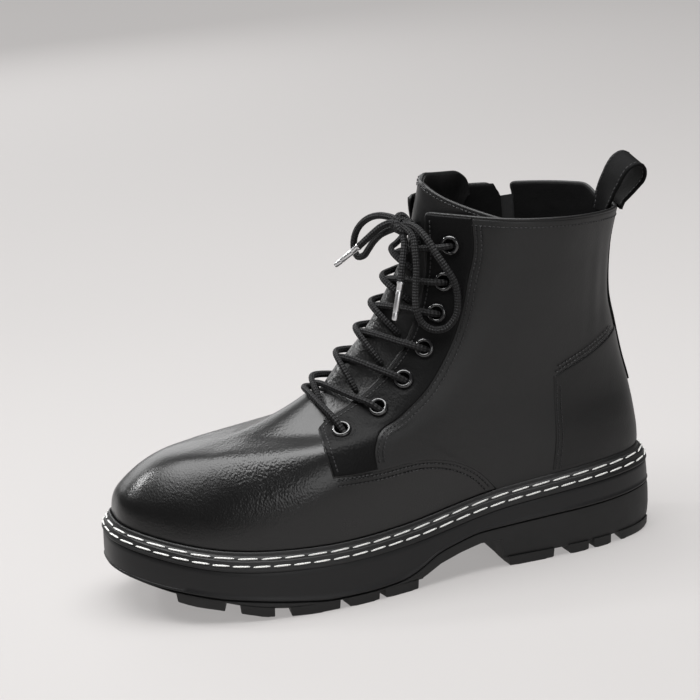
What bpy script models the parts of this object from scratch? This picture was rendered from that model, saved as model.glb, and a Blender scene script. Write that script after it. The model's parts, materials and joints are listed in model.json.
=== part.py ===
"""Lace-up motorcycle boot for the left foot, about EU 42: ankle-high leather upper with seven
pairs of eyelets, a zip on the inner side, a pull loop and a chunky stitched rubber sole.

Frame: +X to the toe, +Y to the boot's outer (lateral) side, +Z up, and the origin on the floor
under the middle of the boot. The tables below are in millimetres from the back of the last,
and metres() turns them into the frame.
"""
import math
from collections import namedtuple
from functools import lru_cache

import bmesh
import bpy
import numpy as np
from mathutils import Matrix, Vector
from mathutils.bvhtree import BVHTree

# ---------------------------------------------------------------- driving dimensions (mm)
MM = 0.001
MIDDLE = np.array([146.2, 0.9, -4.3])  # the frame's origin, from the back of the last
GAP = 0.35                             # air between pieces that meet
WALL = 2.2                             # leather and lining of the upper
COLUMNS = 48                           # facets around the boot

# The last, ring by ring from the sole up. Each ring runs from a back point to a front point,
# with half widths at the heel, waist, ball and toe of its length.
Ring = namedtuple("Ring", "level front_x front_z back_x back_z heel waist ball toe front_round back_round")
LAST = (
    Ring(0.00, 290.0, 34.0, 6.4, 38.0, 35.0, 31.5, 44.0, 44.5, 2.9, 2.9),
    Ring(0.10, 291.5, 43.0, 5.5, 49.0, 36.0, 33.5, 46.5, 44.5, 2.9, 2.9),
    Ring(0.22, 287.0, 57.5, 6.3, 60.5, 36.3, 34.5, 45.5, 39.5, 2.8, 2.7),
    Ring(0.34, 265.0, 73.0, 8.4, 76.0, 35.8, 33.8, 40.0, 31.5, 2.5, 2.3),
    Ring(0.46, 224.0, 79.5, 12.4, 92.0, 34.8, 32.8, 35.0, 26.0, 2.3, 2.2),
    Ring(0.58, 186.0, 95.5, 16.0, 110.0, 34.0, 33.5, 32.5, 23.0, 2.2, 2.2),
    Ring(0.70, 157.0, 120.0, 19.0, 127.0, 33.6, 35.0, 32.5, 23.0, 2.1, 2.2),
    Ring(0.85, 136.0, 152.0, 17.6, 152.5, 34.4, 37.4, 35.4, 24.5, 2.1, 2.2),
    Ring(1.00, 125.0, 184.0, 12.6, 173.5, 34.8, 39.5, 38.5, 27.5, 2.3, 2.2),
    Ring(1.12, 120.5, 204.0, 10.0, 188.0, 35.0, 39.5, 38.5, 27.5, 2.3, 2.2),
)
INNER_LIFT = ((15.0, 7.2), (35.0, 6.2), (58.0, 5.0), (80.0, 4.5))   # x, and how much higher the inner collar stands
INNER_BULGE = 3.0                      # and how far the soft wall behind the zip stands out
INNER_BULGE_AT = (28.0, 20.0)          # x of the bulge's middle, and its reach
INNER_FROM = (0.78, 0.22)              # level where both begin, and how soon they are whole
INNER_FALL = 6.0                       # how far the instep falls back on its inner side
INNER_FALL_FROM, INNER_FALL_TO = (0.38, 0.12), (0.86, 0.14)   # levels where it begins and ends
INNER_TURN = (0.20, 0.28)              # sine of the angle where both begin, and how soon they are whole
FALL_TURN = 0.6
WIDTH_SHARES = (0.0, 0.10, 0.38, 0.68, 0.90, 1.0)
END_WIDTHS = (0.98, 0.90)              # the width tables' ends, as shares of heel and toe
COLLAR = 1.0                           # level of the collar's edge
ANKLE_FADE = (0.30, 0.50)              # the foot's sideways curve fades over these levels
FEATHER_FADE = 0.34                    # the feather line's dip fades below this level

Station = namedtuple("Station", "x swing feather")
SOLE_LINE = (                          # sideways curve, and height of the line where upper meets welt
    Station(0, -0.5, 40.5),
    Station(40, -0.8, 39.5),
    Station(90, 0.0, 36.0),
    Station(150, 2.4, 28.0),
    Station(200, 1.4, 26.8),
    Station(250, -2.4, 30.8),
    Station(300, -9.0, 43.5),
)

WELT_HIGH = 7.0
WELT_WIDE = 6.8                        # how far the welt and sidewall stand out from the feather line
TREAD_LIP = 0.8                        # how far the tread stands out past the sidewall
INSOLE_THICK = 4.0
GROUND = (
    (0, -2.2), (6, -3.9), (14, -4.3), (216, -4.3), (228, -2.8), (238, -0.9), (251, 2.8), (264, 5.0),
    (272, 7.6), (283, 11.2), (292, 14.4), (300, 17.6),
)
SPLIT = (
    (0, 21.4), (30, 20.5), (67, 19.6), (92, 18.3), (112, 17.4), (135, 12.0), (146, 5.6), (155, 2.5),
    (172, 1.3), (198, 1.4), (220, 4.2), (250, 8.6), (281, 15.4), (300, 21.2),
)
ARCH = ((97.5, -9.0), (97.5, 11.2), (110, 11.7), (122, 9.4), (134, 6.2), (144.5, 1.2), (146.5, -9.0))
Channel = namedtuple("Channel", "x width turn")
CHANNELS = (                           # gaps between the main lugs, cut in from both edges
    Channel(274.0, 5.0, 34.0),
    Channel(246.0, 7.0, 18.0),
    Channel(221.7, 7.8, 8.0),
    Channel(189.5, 4.6, -4.0),
    Channel(168.5, 3.2, -8.0),
    Channel(63.8, 9.0, 0.0),
    Channel(46.0, 3.2, 0.0),
    Channel(30.4, 6.0, 6.0),
)
CHANNEL_DEEP = 4.2
BELOW = -12.0                          # height under the floor where the channels' cutters begin
CHANNEL_RUN = 25.0

THROAT_HALVES = ((0.565, 19.5), (0.72, 19.0), (0.86, 15.5), (1.0, 12.0), (1.12, 11.0))
THROAT_FOOT = 0.565
EYELETS = (                            # side view x and z, the same on both sides
    (178.5, 81.5), (158.0, 90.0), (142.6, 102.1), (130.0, 116.5),
    (121.5, 133.4), (116.3, 149.0), (112.0, 167.5),
)
EYELET_RIM = ((4.2, 1.1), (5.1, 0.6), (5.1, 0.0), (3.0, 0.0), (3.0, -2.4), (2.6, -2.4), (2.6, 1.1))
EYELET_HOLE = 3.35
EYELET_FACETS = 12

TONGUE_THICK = 3.0
TONGUE_DEPTH = WALL + 0.75
TONGUE_FOOT = (0.500, 0.485)           # station of the lower edge, in the middle and at the sides
TONGUE_SIDE = 0.965                    # station that the sides would end at without their flare
TONGUE_HALF = ((0.0, 25.5), (0.35, 26.0), (0.7, 27.5), (1.0, 30.0))
TONGUE_TOP = (                         # level of the upper edge, from the inner to the outer side
    (-1.0, 0.975), (-0.96, 1.025), (-0.86, 1.052), (-0.5, 1.062), (-0.1, 1.075), (0.05, 1.075),
    (0.3, 1.055), (1.0, 0.985),
)
TONGUE_TURN = ((-1.0, 1.42), (0.0, 1.36), (1.0, 1.33))   # angle that the upper edge reaches
TONGUE_FLARE = 0.70                    # share of its length from which the tongue widens
TONGUE_TUCK = 0.9                      # how much deeper the flared sides lie
CROWN_FROM = 0.17                      # share of its length where the bulge begins
CROWN_END = 0.85                       # share of its length where the bulge has faded out
TONGUE_CROWN = ((0.0, 2.4), (4.0, 2.1), (12.0, 0.1), (40.0, 0.0))  # bulge by distance from the middle

LACE = 3.6
EMERGE = 3.4                           # how far under the facing's edge a strand comes out
LACE_POINTS = 7
ZIP_LINE = ((60.5, 66.0), (56.0, 172.0))   # side view x and z of the zip's foot and its top
ZIP_SLOT_HALF = 3.6
NOTCH_BACK, NOTCH_FRONT = 3.2, 13.0      # how far the notch reaches from the zip's line
SLIDER_Z = 164.5

LOOP_WIDE = 19.5
LOOP_THICK = 1.6
LOOP_LEAN = math.radians(13.0)
LOOP_LEGS = (0.960, 0.985)             # levels of the sewn legs
LOOP_PATH = (                          # x and z from the collar's back edge, inner leg to outer leg
    (2.6, 4.2), (1.0, 10.8), (-1.4, 17.0), (-5.2, 21.8), (-9.6, 23.2), (-13.4, 21.2),
    (-14.4, 16.6), (-11.8, 11.0), (-7.0, 4.6), (-2.6, -0.6),
)

# The bow, from the knot outwards, in x, y and z. The lace hangs free here.
KNOT = (131.0, 3.0, 177.4)
LOOP_MEDIAL = (
    (134.6, -5.6, 179.9), (138.0, -11.2, 180.0), (141.0, -16.0, 178.6), (144.0, -20.4, 175.6),
    (146.2, -23.6, 171.6), (147.6, -25.8, 166.4), (147.8, -26.6, 160.8), (146.6, -25.0, 156.6),
    (144.6, -21.6, 157.4), (143.0, -17.6, 161.4), (141.2, -13.4, 166.2), (138.4, -8.6, 170.6),
    (135.0, -4.2, 173.2),
)
LOOP_LATERAL = (
    (128.3, 13.2, 177.7), (125.1, 21.8, 173.0), (121.5, 27.6, 164.3), (117.7, 30.6, 156.8),
    (114.6, 31.8, 150.1), (113.5, 32.2, 141.0), (115.6, 32.2, 132.0), (120.3, 31.2, 127.3),
    (125.8, 28.6, 126.5), (130.6, 26.0, 129.7), (133.2, 25.0, 136.6), (132.4, 22.6, 146.6),
    (130.9, 21.4, 156.7), (130.3, 19.2, 165.8), (129.8, 15.4, 173.2),
)
END_MEDIAL = (
    (135.8, -1.6, 177.6), (139.6, -4.4, 175.6), (143.0, -7.0, 172.4), (146.4, -9.8, 168.6),
    (149.8, -12.6, 164.8),
)
AGLET_MEDIAL = ((150.1, -12.8, 164.5), (160.6, -20.6, 154.4))
END_FRONT = (
    (132.6, 10.0, 170.2), (134.8, 13.6, 162.8), (136.6, 15.4, 156.6), (138.2, 17.0, 150.4),
)
AGLET_FRONT = ((138.35, 17.15, 149.8), (143.6, 19.4, 131.8))
AGLET_WIDE = 3.0


# ---------------------------------------------------------------- the last as a function
def smooth(stations, values, at):
    """Smooth curve through a table's values, which may hold one column for each wanted place."""
    stations = np.asarray(stations, float)
    values = np.asarray(values, float)
    at = np.clip(np.asarray(at, float), stations[0], stations[-1])
    slopes = np.gradient(values, stations, axis=0)
    left = np.clip(np.searchsorted(stations, at) - 1, 0, len(stations) - 2)
    if values.ndim > 1:
        places = np.arange(values.shape[1])
        low, high = values[left, places], values[left + 1, places]
        rise_low, rise_high = slopes[left, places], slopes[left + 1, places]
    else:
        low, high = values[left], values[left + 1]
        rise_low, rise_high = slopes[left], slopes[left + 1]
    step = stations[left + 1] - stations[left]
    t = (at - stations[left]) / step
    return ((2 * t**3 - 3 * t**2 + 1) * low + (t**3 - 2 * t**2 + t) * step * rise_low
            + (3 * t**2 - 2 * t**3) * high + (t**3 - t**2) * step * rise_high)


def column(table, name):
    return np.array([getattr(row, name) for row in table], float)


def ring_at(level):
    """One ring of the last, with an array in each field when level is an array."""
    levels = column(LAST, "level")
    return Ring(level, *(smooth(levels, column(LAST, name), level) for name in Ring._fields[1:]))


def feather(x):
    """Height of the line where the upper meets the welt."""
    return smooth(column(SOLE_LINE, "x"), column(SOLE_LINE, "feather"), x)


def ease(share):
    """Smooth step from 0 to 1."""
    share = np.clip(share, 0.0, 1.0)
    return share * share * (3.0 - 2.0 * share)


def swing(level, x):
    """Sideways curve of the left foot, which the ankle doesn't share."""
    curve = smooth(column(SOLE_LINE, "x"), column(SOLE_LINE, "swing"), x)
    return curve * ease(1.0 - (level - ANKLE_FADE[0]) / ANKLE_FADE[1])


def ring_height(ring, share, x):
    foot = LAST[0]
    dip = np.clip(1.0 - ring.level / FEATHER_FADE, 0.0, 1.0) ** 2
    straight = foot.back_z + (foot.front_z - foot.back_z) * share
    height = ring.back_z + (ring.front_z - ring.back_z) * share
    return height + dip * (feather(x) - WELT_HIGH - straight)


def skin(level, angle):
    """Outer face of the upper. Angle 0 is the front, and + turns to the outer side."""
    level, angle = np.broadcast_arrays(np.asarray(level, float), np.asarray(angle, float))
    shape = level.shape
    level, angle = level.ravel(), angle.ravel()
    ring = ring_at(level)
    cosine, sine = np.cos(angle), np.sin(angle)
    power = 2.0 / np.where(cosine > 0, ring.front_round, ring.back_round)
    along = np.sign(cosine) * np.abs(cosine) ** power
    share = (along + 1.0) / 2.0
    widths = np.stack([ring.heel * END_WIDTHS[0], ring.heel, ring.waist, ring.ball, ring.toe,
                       ring.toe * END_WIDTHS[1]])
    across = np.sign(sine) * np.abs(sine) ** power * smooth(WIDTH_SHARES, widths, share)
    x = ring.back_x + (ring.front_x - ring.back_x) * share
    inner = ease((level - INNER_FROM[0]) / INNER_FROM[1]) * ease((-sine - INNER_TURN[0]) / INNER_TURN[1])
    bulge = INNER_BULGE * np.exp(-((x - INNER_BULGE_AT[0]) / INNER_BULGE_AT[1]) ** 2)
    fall = (INNER_FALL * ease((level - INNER_FALL_FROM[0]) / INNER_FALL_FROM[1]) * ease(-sine / FALL_TURN)
            * (1.0 - ease((level - INNER_FALL_TO[0]) / INNER_FALL_TO[1])) * ease((cosine + 0.2) / 0.6))
    lift = np.interp(x, *zip(*INNER_LIFT))
    points = np.stack([x - fall, across + swing(level, x) - inner * bulge,
                       ring_height(ring, share, x) + inner * lift], axis=-1)
    return points.reshape(shape + (3,))


def outward(level, angle):
    """Unit normal of the upper's outer face."""
    rise = skin(np.minimum(level + 0.004, LAST[-1].level), angle) - skin(np.maximum(level - 0.004, 0.0), angle)
    turn = skin(level, angle + 0.02) - skin(level, angle - 0.02)
    normal = np.cross(turn, rise)
    return normal / np.linalg.norm(normal, axis=-1, keepdims=True)


def over_skin(level, angle, height):
    """Points a height above the upper's outer face, or below it when height is negative."""
    return skin(level, angle) + outward(level, angle) * np.expand_dims(np.asarray(height, float), -1)


HALF_TURN = np.linspace(0.0, math.pi, 241)


@lru_cache(maxsize=None)
def girth_table(level):
    steps = np.linalg.norm(np.diff(skin(level, HALF_TURN), axis=0), axis=1)
    return np.concatenate([[0.0], np.cumsum(steps)])


def around(level, count=COLUMNS):
    """Angles once around a ring, closer together at its front and back, where it turns most."""
    half = count // 2
    share = np.arange(half + 1) / half
    share = share - 0.5 * np.sin(2.0 * math.pi * share) / (2.0 * math.pi)
    table = girth_table(level)
    angles = np.interp(share * table[-1], table, HALF_TURN)
    return np.concatenate([angles, -angles[-2:0:-1]])


def side_place(x, z):
    """Level and angle of the outer side's skin at x and z in the side view."""
    x, z = np.broadcast_arrays(np.asarray(x, float), np.asarray(z, float))
    low = np.zeros_like(x)
    high = np.full_like(x, LAST[-1].level)
    for _ in range(30):
        level = (low + high) / 2.0
        ring = ring_at(level)
        share = np.clip((x - ring.back_x) / (ring.front_x - ring.back_x), 0.0, 1.0)
        below = ring_height(ring, share, x) < z
        low = np.where(below, level, low)
        high = np.where(below, high, level)
    along = 2.0 * share - 1.0
    roundness = np.where(along > 0, ring.front_round, ring.back_round)
    cosine = np.sign(along) * np.abs(along) ** (roundness / 2.0)
    return level, np.arccos(np.clip(cosine, -1.0, 1.0))


def throat_place(station, across):
    """Level and angle of the skin beside the front line, square to it at a station (a level)."""
    station, across = np.broadcast_arrays(np.asarray(station, float), np.asarray(across, float))
    ring, after = ring_at(station), ring_at(station + 0.004)
    along = np.stack([after.front_x - ring.front_x, after.front_z - ring.front_z])
    along = along / np.linalg.norm(along, axis=0)
    near = np.zeros_like(station)
    far = np.full_like(station, 70.0)
    for _ in range(24):
        depth = (near + far) / 2.0
        level, angle = side_place(ring.front_x - along[1] * depth, ring.front_z + along[0] * depth)
        point = skin(level, angle)
        narrow = point[..., 1] - swing(level, point[..., 0]) < np.abs(across)
        near = np.where(narrow, depth, near)
        far = np.where(narrow, far, depth)
    return level, angle * np.where(across < 0, -1.0, 1.0)


def throat_half(station):
    """Half the gap between the eyelet facings, which come closer together towards the collar."""
    return np.interp(station, *zip(*THROAT_HALVES))


# ---------------------------------------------------------------- Blender helpers
def metres(points):
    return (np.asarray(points, float) - MIDDLE) * MM


def material(name, colour, roughness, metallic=0.0):
    made = bpy.data.materials.get(name)
    if made is None:
        made = bpy.data.materials.new(name)
        made.use_nodes = True
        shader = made.node_tree.nodes["Principled BSDF"]
        shader.inputs["Base Color"].default_value = (*colour, 1.0)
        shader.inputs["Roughness"].default_value = roughness
        shader.inputs["Metallic"].default_value = metallic
        made.diffuse_color = (*colour, 1.0)
    return made


def leather():
    return material("leather", (0.020, 0.020, 0.021), 0.42)


def rubber():
    return material("rubber", (0.016, 0.016, 0.017), 0.62)


def cord():
    return material("lace_cord", (0.014, 0.014, 0.015), 0.80)


def silver():
    return material("silver", (0.70, 0.70, 0.71), 0.22, 1.0)


def add_object(name, data, collection, finish=None):
    made = bpy.data.objects.new(name, data)
    collection.objects.link(made)
    if finish is not None:
        made.data.materials.append(finish)
    return made


def smooth_shade(mesh):
    mesh.shade_smooth()
    mesh.set_sharp_from_angle(angle=math.radians(40))


def mesh_of_rows(name, rows, wrap_rows=False, wrap_columns=False):
    """Quads between neighbouring rows of points, which may close on themselves either way."""
    rows = np.asarray(rows, float)
    high, wide = rows.shape[:2]
    faces = []
    for j in range(high if wrap_rows else high - 1):
        for i in range(wide if wrap_columns else wide - 1):
            up, on = (j + 1) % high, (i + 1) % wide
            faces.append((j * wide + i, j * wide + on, up * wide + on, up * wide + i))
    mesh = bpy.data.meshes.new(name)
    mesh.from_pydata(metres(rows.reshape(-1, 3)).tolist(), [], faces)
    mesh.update()
    return mesh


def outward_faces(mesh, merge=False):
    work = bmesh.new()
    work.from_mesh(mesh)
    if merge:
        bmesh.ops.remove_doubles(work, verts=work.verts, dist=1e-6)
    bmesh.ops.recalc_face_normals(work, faces=work.faces)
    work.to_mesh(mesh)
    work.free()


def thicken(made, thickness):
    solid = made.modifiers.new("wall", "SOLIDIFY")
    solid.thickness = thickness * MM
    solid.offset = -1.0
    solid.use_even_offset = True


def cut(made, cutter):
    boolean = made.modifiers.new("cut", "BOOLEAN")
    boolean.operation = "DIFFERENCE"
    boolean.solver = "EXACT"
    boolean.object = cutter


def add_cutter(name, mesh):
    cutter = add_object(name, mesh, cutters)
    cutter.hide_render = True
    cutter.display_type = "WIRE"
    return cutter


def block_row(name, sections):
    """Closed block lofted through four-cornered sections."""
    sections = np.asarray(sections, float)
    mesh = mesh_of_rows(name, sections, wrap_columns=True)
    work = bmesh.new()
    work.from_mesh(mesh)
    bmesh.ops.holes_fill(work, edges=work.edges, sides=0)
    bmesh.ops.recalc_face_normals(work, faces=work.faces)
    work.to_mesh(mesh)
    work.free()
    return mesh


def plate(name, outline, low, high):
    """Closed slab whose lower and upper faces have heights that change along x only."""
    count = len(outline)
    half = count // 2
    lower = np.column_stack([outline, low(outline[:, 0])])
    upper = np.column_stack([outline, high(outline[:, 0])])
    faces = [(i, (i + 1) % count, count + (i + 1) % count, count + i) for i in range(count)]
    rungs = [(0, 1, count - 1)]
    rungs += [(k, k + 1, count - k - 1, count - k) for k in range(1, half - 1)]
    rungs += [(half - 1, half, half + 1)]
    faces += [tuple(count + corner for corner in rung) for rung in rungs]
    faces += [tuple(reversed(rung)) for rung in rungs]
    mesh = bpy.data.meshes.new(name)
    mesh.from_pydata(metres(np.vstack([lower, upper])).tolist(), [], faces)
    mesh.update()
    return mesh


def tube(name, points, width, collection, finish):
    """Round cord through the points, on one straight-sided spline with closed ends."""
    curve = bpy.data.curves.new(name, "CURVE")
    curve.dimensions = "3D"
    curve.bevel_depth = width / 2.0 * MM
    curve.bevel_resolution = 2
    curve.resolution_u = 1
    curve.use_fill_caps = True
    spline = curve.splines.new("POLY")
    spline.points.add(len(points) - 1)
    for point, place in zip(spline.points, metres(points)):
        point.co = (*place, 1.0)
    return add_object(name, curve, collection, finish)


def as_mesh(made):
    """A curve object turned into a closed mesh object of the same name."""
    name, finish, collection = made.name, made.data.materials[0], made.users_collection[0]
    bpy.context.view_layer.update()
    mesh = bpy.data.meshes.new_from_object(made.evaluated_get(bpy.context.evaluated_depsgraph_get()))
    place = made.matrix_world.copy()
    bpy.data.objects.remove(made)
    outward_faces(mesh, merge=True)
    mesh.name = name
    solid = add_object(name, mesh, collection)
    solid.matrix_world = place
    if not solid.data.materials:
        solid.data.materials.append(finish)
    return solid


def through(points, count):
    """Evenly shared points on a smooth curve through a short route."""
    points = np.asarray(points, float)
    reach = np.concatenate([[0.0], np.cumsum(np.linalg.norm(np.diff(points, axis=0), axis=1))])
    at = np.linspace(0.0, reach[-1], count)
    return np.stack([smooth(reach, points[:, axis], at) for axis in range(3)], axis=-1)


# ---------------------------------------------------------------- the sole
def outline(offset):
    """Outline that runs a distance outside the upper's lower edge, counter-clockwise from the toe."""
    edge = skin(0.0, around(0.0))[:, :2]
    run = np.roll(edge, -1, axis=0) - np.roll(edge, 1, axis=0)
    side = np.stack([run[:, 1], -run[:, 0]], axis=1)
    return edge + side / np.linalg.norm(side, axis=1, keepdims=True) * np.reshape(offset, (-1, 1))


def ground(x):
    return np.interp(x, *zip(*GROUND))


def split(x):
    """Height of the parting line between midsole and outsole."""
    return np.interp(x, *zip(*SPLIT))


def make_outsole():
    mesh = plate("outsole", outline(WELT_WIDE + TREAD_LIP), ground, lambda x: split(x) - GAP / 2)
    outsole = add_object("outsole", mesh, parts, rubber())
    arch = [[(x, y, z) for x, z in ARCH] for y in (-80.0, 90.0)]
    cut(outsole, add_cutter("arch", block_row("arch", arch)))
    edges = outline(WELT_WIDE + TREAD_LIP)
    outer, inner = edges[: COLUMNS // 2], edges[COLUMNS // 2 + 1:][::-1]
    for side, edge in ((1.0, outer), (-1.0, inner)):
        order = np.argsort(edge[:, 0])
        for number, channel in enumerate(CHANNELS):
            rim = np.interp(channel.x, edge[order, 0], edge[order, 1])
            turn = math.radians(channel.turn)
            inward = np.array([-math.sin(turn), -side * math.cos(turn), 0.0])
            across = np.array([math.cos(turn), -side * math.sin(turn), 0.0]) * channel.width / 2
            mouth = np.array([channel.x, rim, 0.0]) - inward * 6.0
            end = np.array([channel.x, rim, 0.0]) + inward * CHANNEL_RUN
            top = float(ground(channel.x)) + CHANNEL_DEEP
            sections = []
            for place in (mouth, end):
                corners = (place - across, place + across, place + across, place - across)
                heights = (BELOW, BELOW, top, top)
                sections.append([(*corner[:2], z) for corner, z in zip(corners, heights)])
            name = f"channel_{'outer' if side > 0 else 'inner'}_{number + 1}"
            cut(outsole, add_cutter(name, block_row(name, sections)))


def make_midsole():
    mesh = plate("midsole", outline(WELT_WIDE), lambda x: split(x) + GAP / 2,
                 lambda x: feather(x) - WELT_HIGH - GAP)
    add_object("midsole", mesh, parts, rubber())


def make_insole():
    mesh = plate("insole", outline(-WALL - 0.7), lambda x: feather(x) - WELT_HIGH,
                 lambda x: feather(x) - WELT_HIGH + INSOLE_THICK)
    add_object("insole", mesh, parts, material("insole_cloth", (0.03, 0.03, 0.032), 0.9))


def make_welt():
    """Band around the feather line, with its upper outer edge cut away at a slant."""
    foot = outline(0.0)
    levels = np.zeros(COLUMNS)
    angles = around(0.0)
    for _ in range(12):
        missing = feather(skin(levels, angles)[:, 0]) - skin(levels, angles)[:, 2]
        levels = np.clip(levels + missing * 0.006, 0.0, 0.2)
    ridge = np.linalg.norm(skin(levels, angles)[:, :2] - foot, axis=1) + GAP
    profile = (                        # distance from the feather line, and height under its top
        (GAP, WELT_HIGH),
        (WELT_WIDE, WELT_HIGH),
        (WELT_WIDE, WELT_HIGH - 1.6),
        (np.maximum(ridge + 1.8, 3.4), 0.0),
        (ridge, 0.0),
    )
    rows = []
    for offset, under in profile:
        edge = outline(offset)
        rows.append(np.column_stack([edge, feather(edge[:, 0]) - under]))
    mesh = mesh_of_rows("welt", rows, wrap_rows=True, wrap_columns=True)
    outward_faces(mesh)
    add_object("welt", mesh, parts, rubber())


# ---------------------------------------------------------------- the upper and its tongue
UPPER_LEVELS = (0.0, 0.06, 0.12, 0.19, 0.26, 0.34, 0.42, 0.50, 0.57, 0.64, 0.72, 0.81, 0.90, COLLAR)


def upper_rows():
    return [skin(level, around(level)) for level in UPPER_LEVELS]


def throat_cutter():
    """Block as wide as the throat that follows the front line from its foot past the collar."""
    sections = []
    for station in np.linspace(THROAT_FOOT, 1.10, 9):
        ring, after = ring_at(station), ring_at(station + 0.004)
        along = np.array([after.front_x - ring.front_x, after.front_z - ring.front_z])
        along /= np.linalg.norm(along)
        middle = float(swing(station, ring.front_x))
        corners = ((-1, 9.0), (1, 9.0), (1, -26.0), (-1, -26.0))
        sections.append([(ring.front_x + along[1] * out, middle + side * throat_half(station),
                          ring.front_z - along[0] * out) for side, out in corners])
    return add_cutter("throat", block_row("throat", sections))


def zip_x(z):
    (foot_x, foot_z), (top_x, top_z) = ZIP_LINE
    return foot_x + (top_x - foot_x) * (z - foot_z) / (top_z - foot_z)


def inner_side(x, z, height):
    """Point above the skin of the inner (medial) side at a place in the side view."""
    level, angle = side_place(x, z)
    return over_skin(level, -angle, height)


def zip_cutter():
    """Slot on the inner side, which opens into a notch at the collar."""
    sections = []
    for z, back, front in ((63.0, 3.0, 3.0), (66.0, ZIP_SLOT_HALF, ZIP_SLOT_HALF),
                           (90.0, ZIP_SLOT_HALF, ZIP_SLOT_HALF), (115.0, ZIP_SLOT_HALF, ZIP_SLOT_HALF),
                           (140.0, ZIP_SLOT_HALF, ZIP_SLOT_HALF), (171.0, ZIP_SLOT_HALF, ZIP_SLOT_HALF),
                           (189.0, NOTCH_BACK, NOTCH_FRONT)):
        middle = zip_x(z)
        corners = ((-back, 5.0), (front, 5.0), (front, -6.0), (-back, -6.0))
        sections.append([inner_side(middle + side, z, out) for side, out in corners])
    return add_cutter("zip_slot", block_row("zip_slot", sections))


def square_to_skin(level, angle, height=0.0):
    """Frame above the skin whose Z axis points outwards."""
    normal = Vector(outward(level, angle))
    turn = normal.to_track_quat("Z", "Y").to_matrix().to_4x4()
    return Matrix.Translation(Vector(metres(over_skin(level, angle, height)))) @ turn


def eyelet_places():
    """Frame of each eyelet, whose origin clears the upper's facets under the rim."""
    facets = mesh_of_rows("facets", upper_rows(), wrap_columns=True)
    work = bmesh.new()
    work.from_mesh(facets)
    tree = BVHTree.FromBMesh(work)
    work.free()
    bpy.data.meshes.remove(facets)
    turns = np.linspace(0.0, 2.0 * math.pi, 24, endpoint=False)
    for side, name in ((1.0, "lateral"), (-1.0, "medial")):
        for number, (x, z) in enumerate(EYELETS):
            level, angle = side_place(x, z)
            frame = square_to_skin(level, angle * side)
            down = frame.to_3x3() @ Vector((0.0, 0.0, -1.0))
            high = []
            for radius in (EYELET_HOLE, 4.2, 5.2):
                for turn in turns:
                    start = frame @ Vector((radius * math.cos(turn) * MM, radius * math.sin(turn) * MM, 8.0 * MM))
                    high.append(8.0 - tree.ray_cast(start, down)[3] / MM)
            yield f"{name}_{number + 1}", square_to_skin(level, angle * side, max(high) + GAP)


def hole_cutter():
    work = bmesh.new()
    for _, place in eyelet_places():
        bmesh.ops.create_cone(work, cap_ends=True, segments=EYELET_FACETS, radius1=EYELET_HOLE * MM,
                              radius2=EYELET_HOLE * MM, depth=12.0 * MM, matrix=place)
    mesh = bpy.data.meshes.new("eyelet_holes")
    work.to_mesh(mesh)
    work.free()
    return add_cutter("eyelet_holes", mesh)


def make_upper():
    mesh = mesh_of_rows("upper", upper_rows(), wrap_columns=True)
    upper = add_object("upper", mesh, parts, leather())
    thicken(upper, WALL)
    for cutter in (throat_cutter(), zip_cutter(), hole_cutter()):
        cut(upper, cutter)
    smooth_shade(mesh)


def tongue_place(share, across):
    """Level and angle of the tongue at a share of its length and a share of its half width."""
    edge = np.abs(across) ** 2
    foot = TONGUE_FOOT[0] + (TONGUE_FOOT[1] - TONGUE_FOOT[0]) * edge
    high = 1.0 + (TONGUE_SIDE - 1.0) * edge
    half = smooth(*zip(*TONGUE_HALF), share)
    level, angle = throat_place(foot + (high - foot) * share, across * half)
    flare = ease((share - TONGUE_FLARE) / (1.0 - TONGUE_FLARE))
    level = level + (np.interp(across, *zip(*TONGUE_TOP)) - level) * flare
    turn = np.interp(across, *zip(*TONGUE_TURN))
    angle = angle + (across * turn - angle) * flare
    crown = np.interp(np.abs(across) * half, *zip(*TONGUE_CROWN))
    crown = crown * ease((share - CROWN_FROM) / 0.12) * ease((CROWN_END - share) / 0.25)
    return level, angle, crown - TONGUE_TUCK * flare * np.abs(across)


def make_tongue():
    across = np.sin(np.linspace(-1.0, 1.0, 17) * math.pi / 2)
    rows = []
    for share in np.linspace(0.0, 1.0, 15):
        level, angle, crown = tongue_place(share, across)
        rows.append(over_skin(level, angle, crown - TONGUE_DEPTH))
    mesh = mesh_of_rows("tongue", rows)
    tongue = add_object("tongue", mesh, parts, leather())
    thicken(tongue, TONGUE_THICK)
    smooth_shade(mesh)


# ---------------------------------------------------------------- eyelets and lace
def make_eyelets():
    profile = bpy.data.meshes.new("eyelet")
    count = len(EYELET_RIM)
    places = [(radius * MM, 0.0, height * MM) for radius, height in EYELET_RIM]
    profile.from_pydata(places, [(i, (i + 1) % count) for i in range(count)], [])
    finish = material("eyelet_black", (0.012, 0.012, 0.013), 0.18, 0.6)
    for name, place in eyelet_places():
        eyelet = add_object(f"eyelet_{name}", profile.copy(), parts, finish)
        eyelet.matrix_world = place
        screw = eyelet.modifiers.new("turn", "SCREW")
        screw.axis = "Z"
        screw.steps = EYELET_FACETS
        screw.render_steps = EYELET_FACETS
        screw.use_merge_vertices = True
        screw.merge_threshold = 1e-6


def eyelet_stations():
    """Station and half width of each eyelet, for the lace's route across the throat."""
    found = []
    for x, z in EYELETS:
        stations = np.linspace(0.5, 1.0, 251)
        ring, after = ring_at(stations), ring_at(stations + 0.004)
        along = np.stack([after.front_x - ring.front_x, after.front_z - ring.front_z])
        along = along / np.linalg.norm(along, axis=0)
        miss = (x - ring.front_x) * along[0] + (z - ring.front_z) * along[1]
        station = float(stations[np.argmin(np.abs(miss))])
        level, angle = side_place(x, z)
        point = skin(level, angle)
        found.append((station, float(point[1] - swing(level, point[0]))))
    return found


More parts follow.
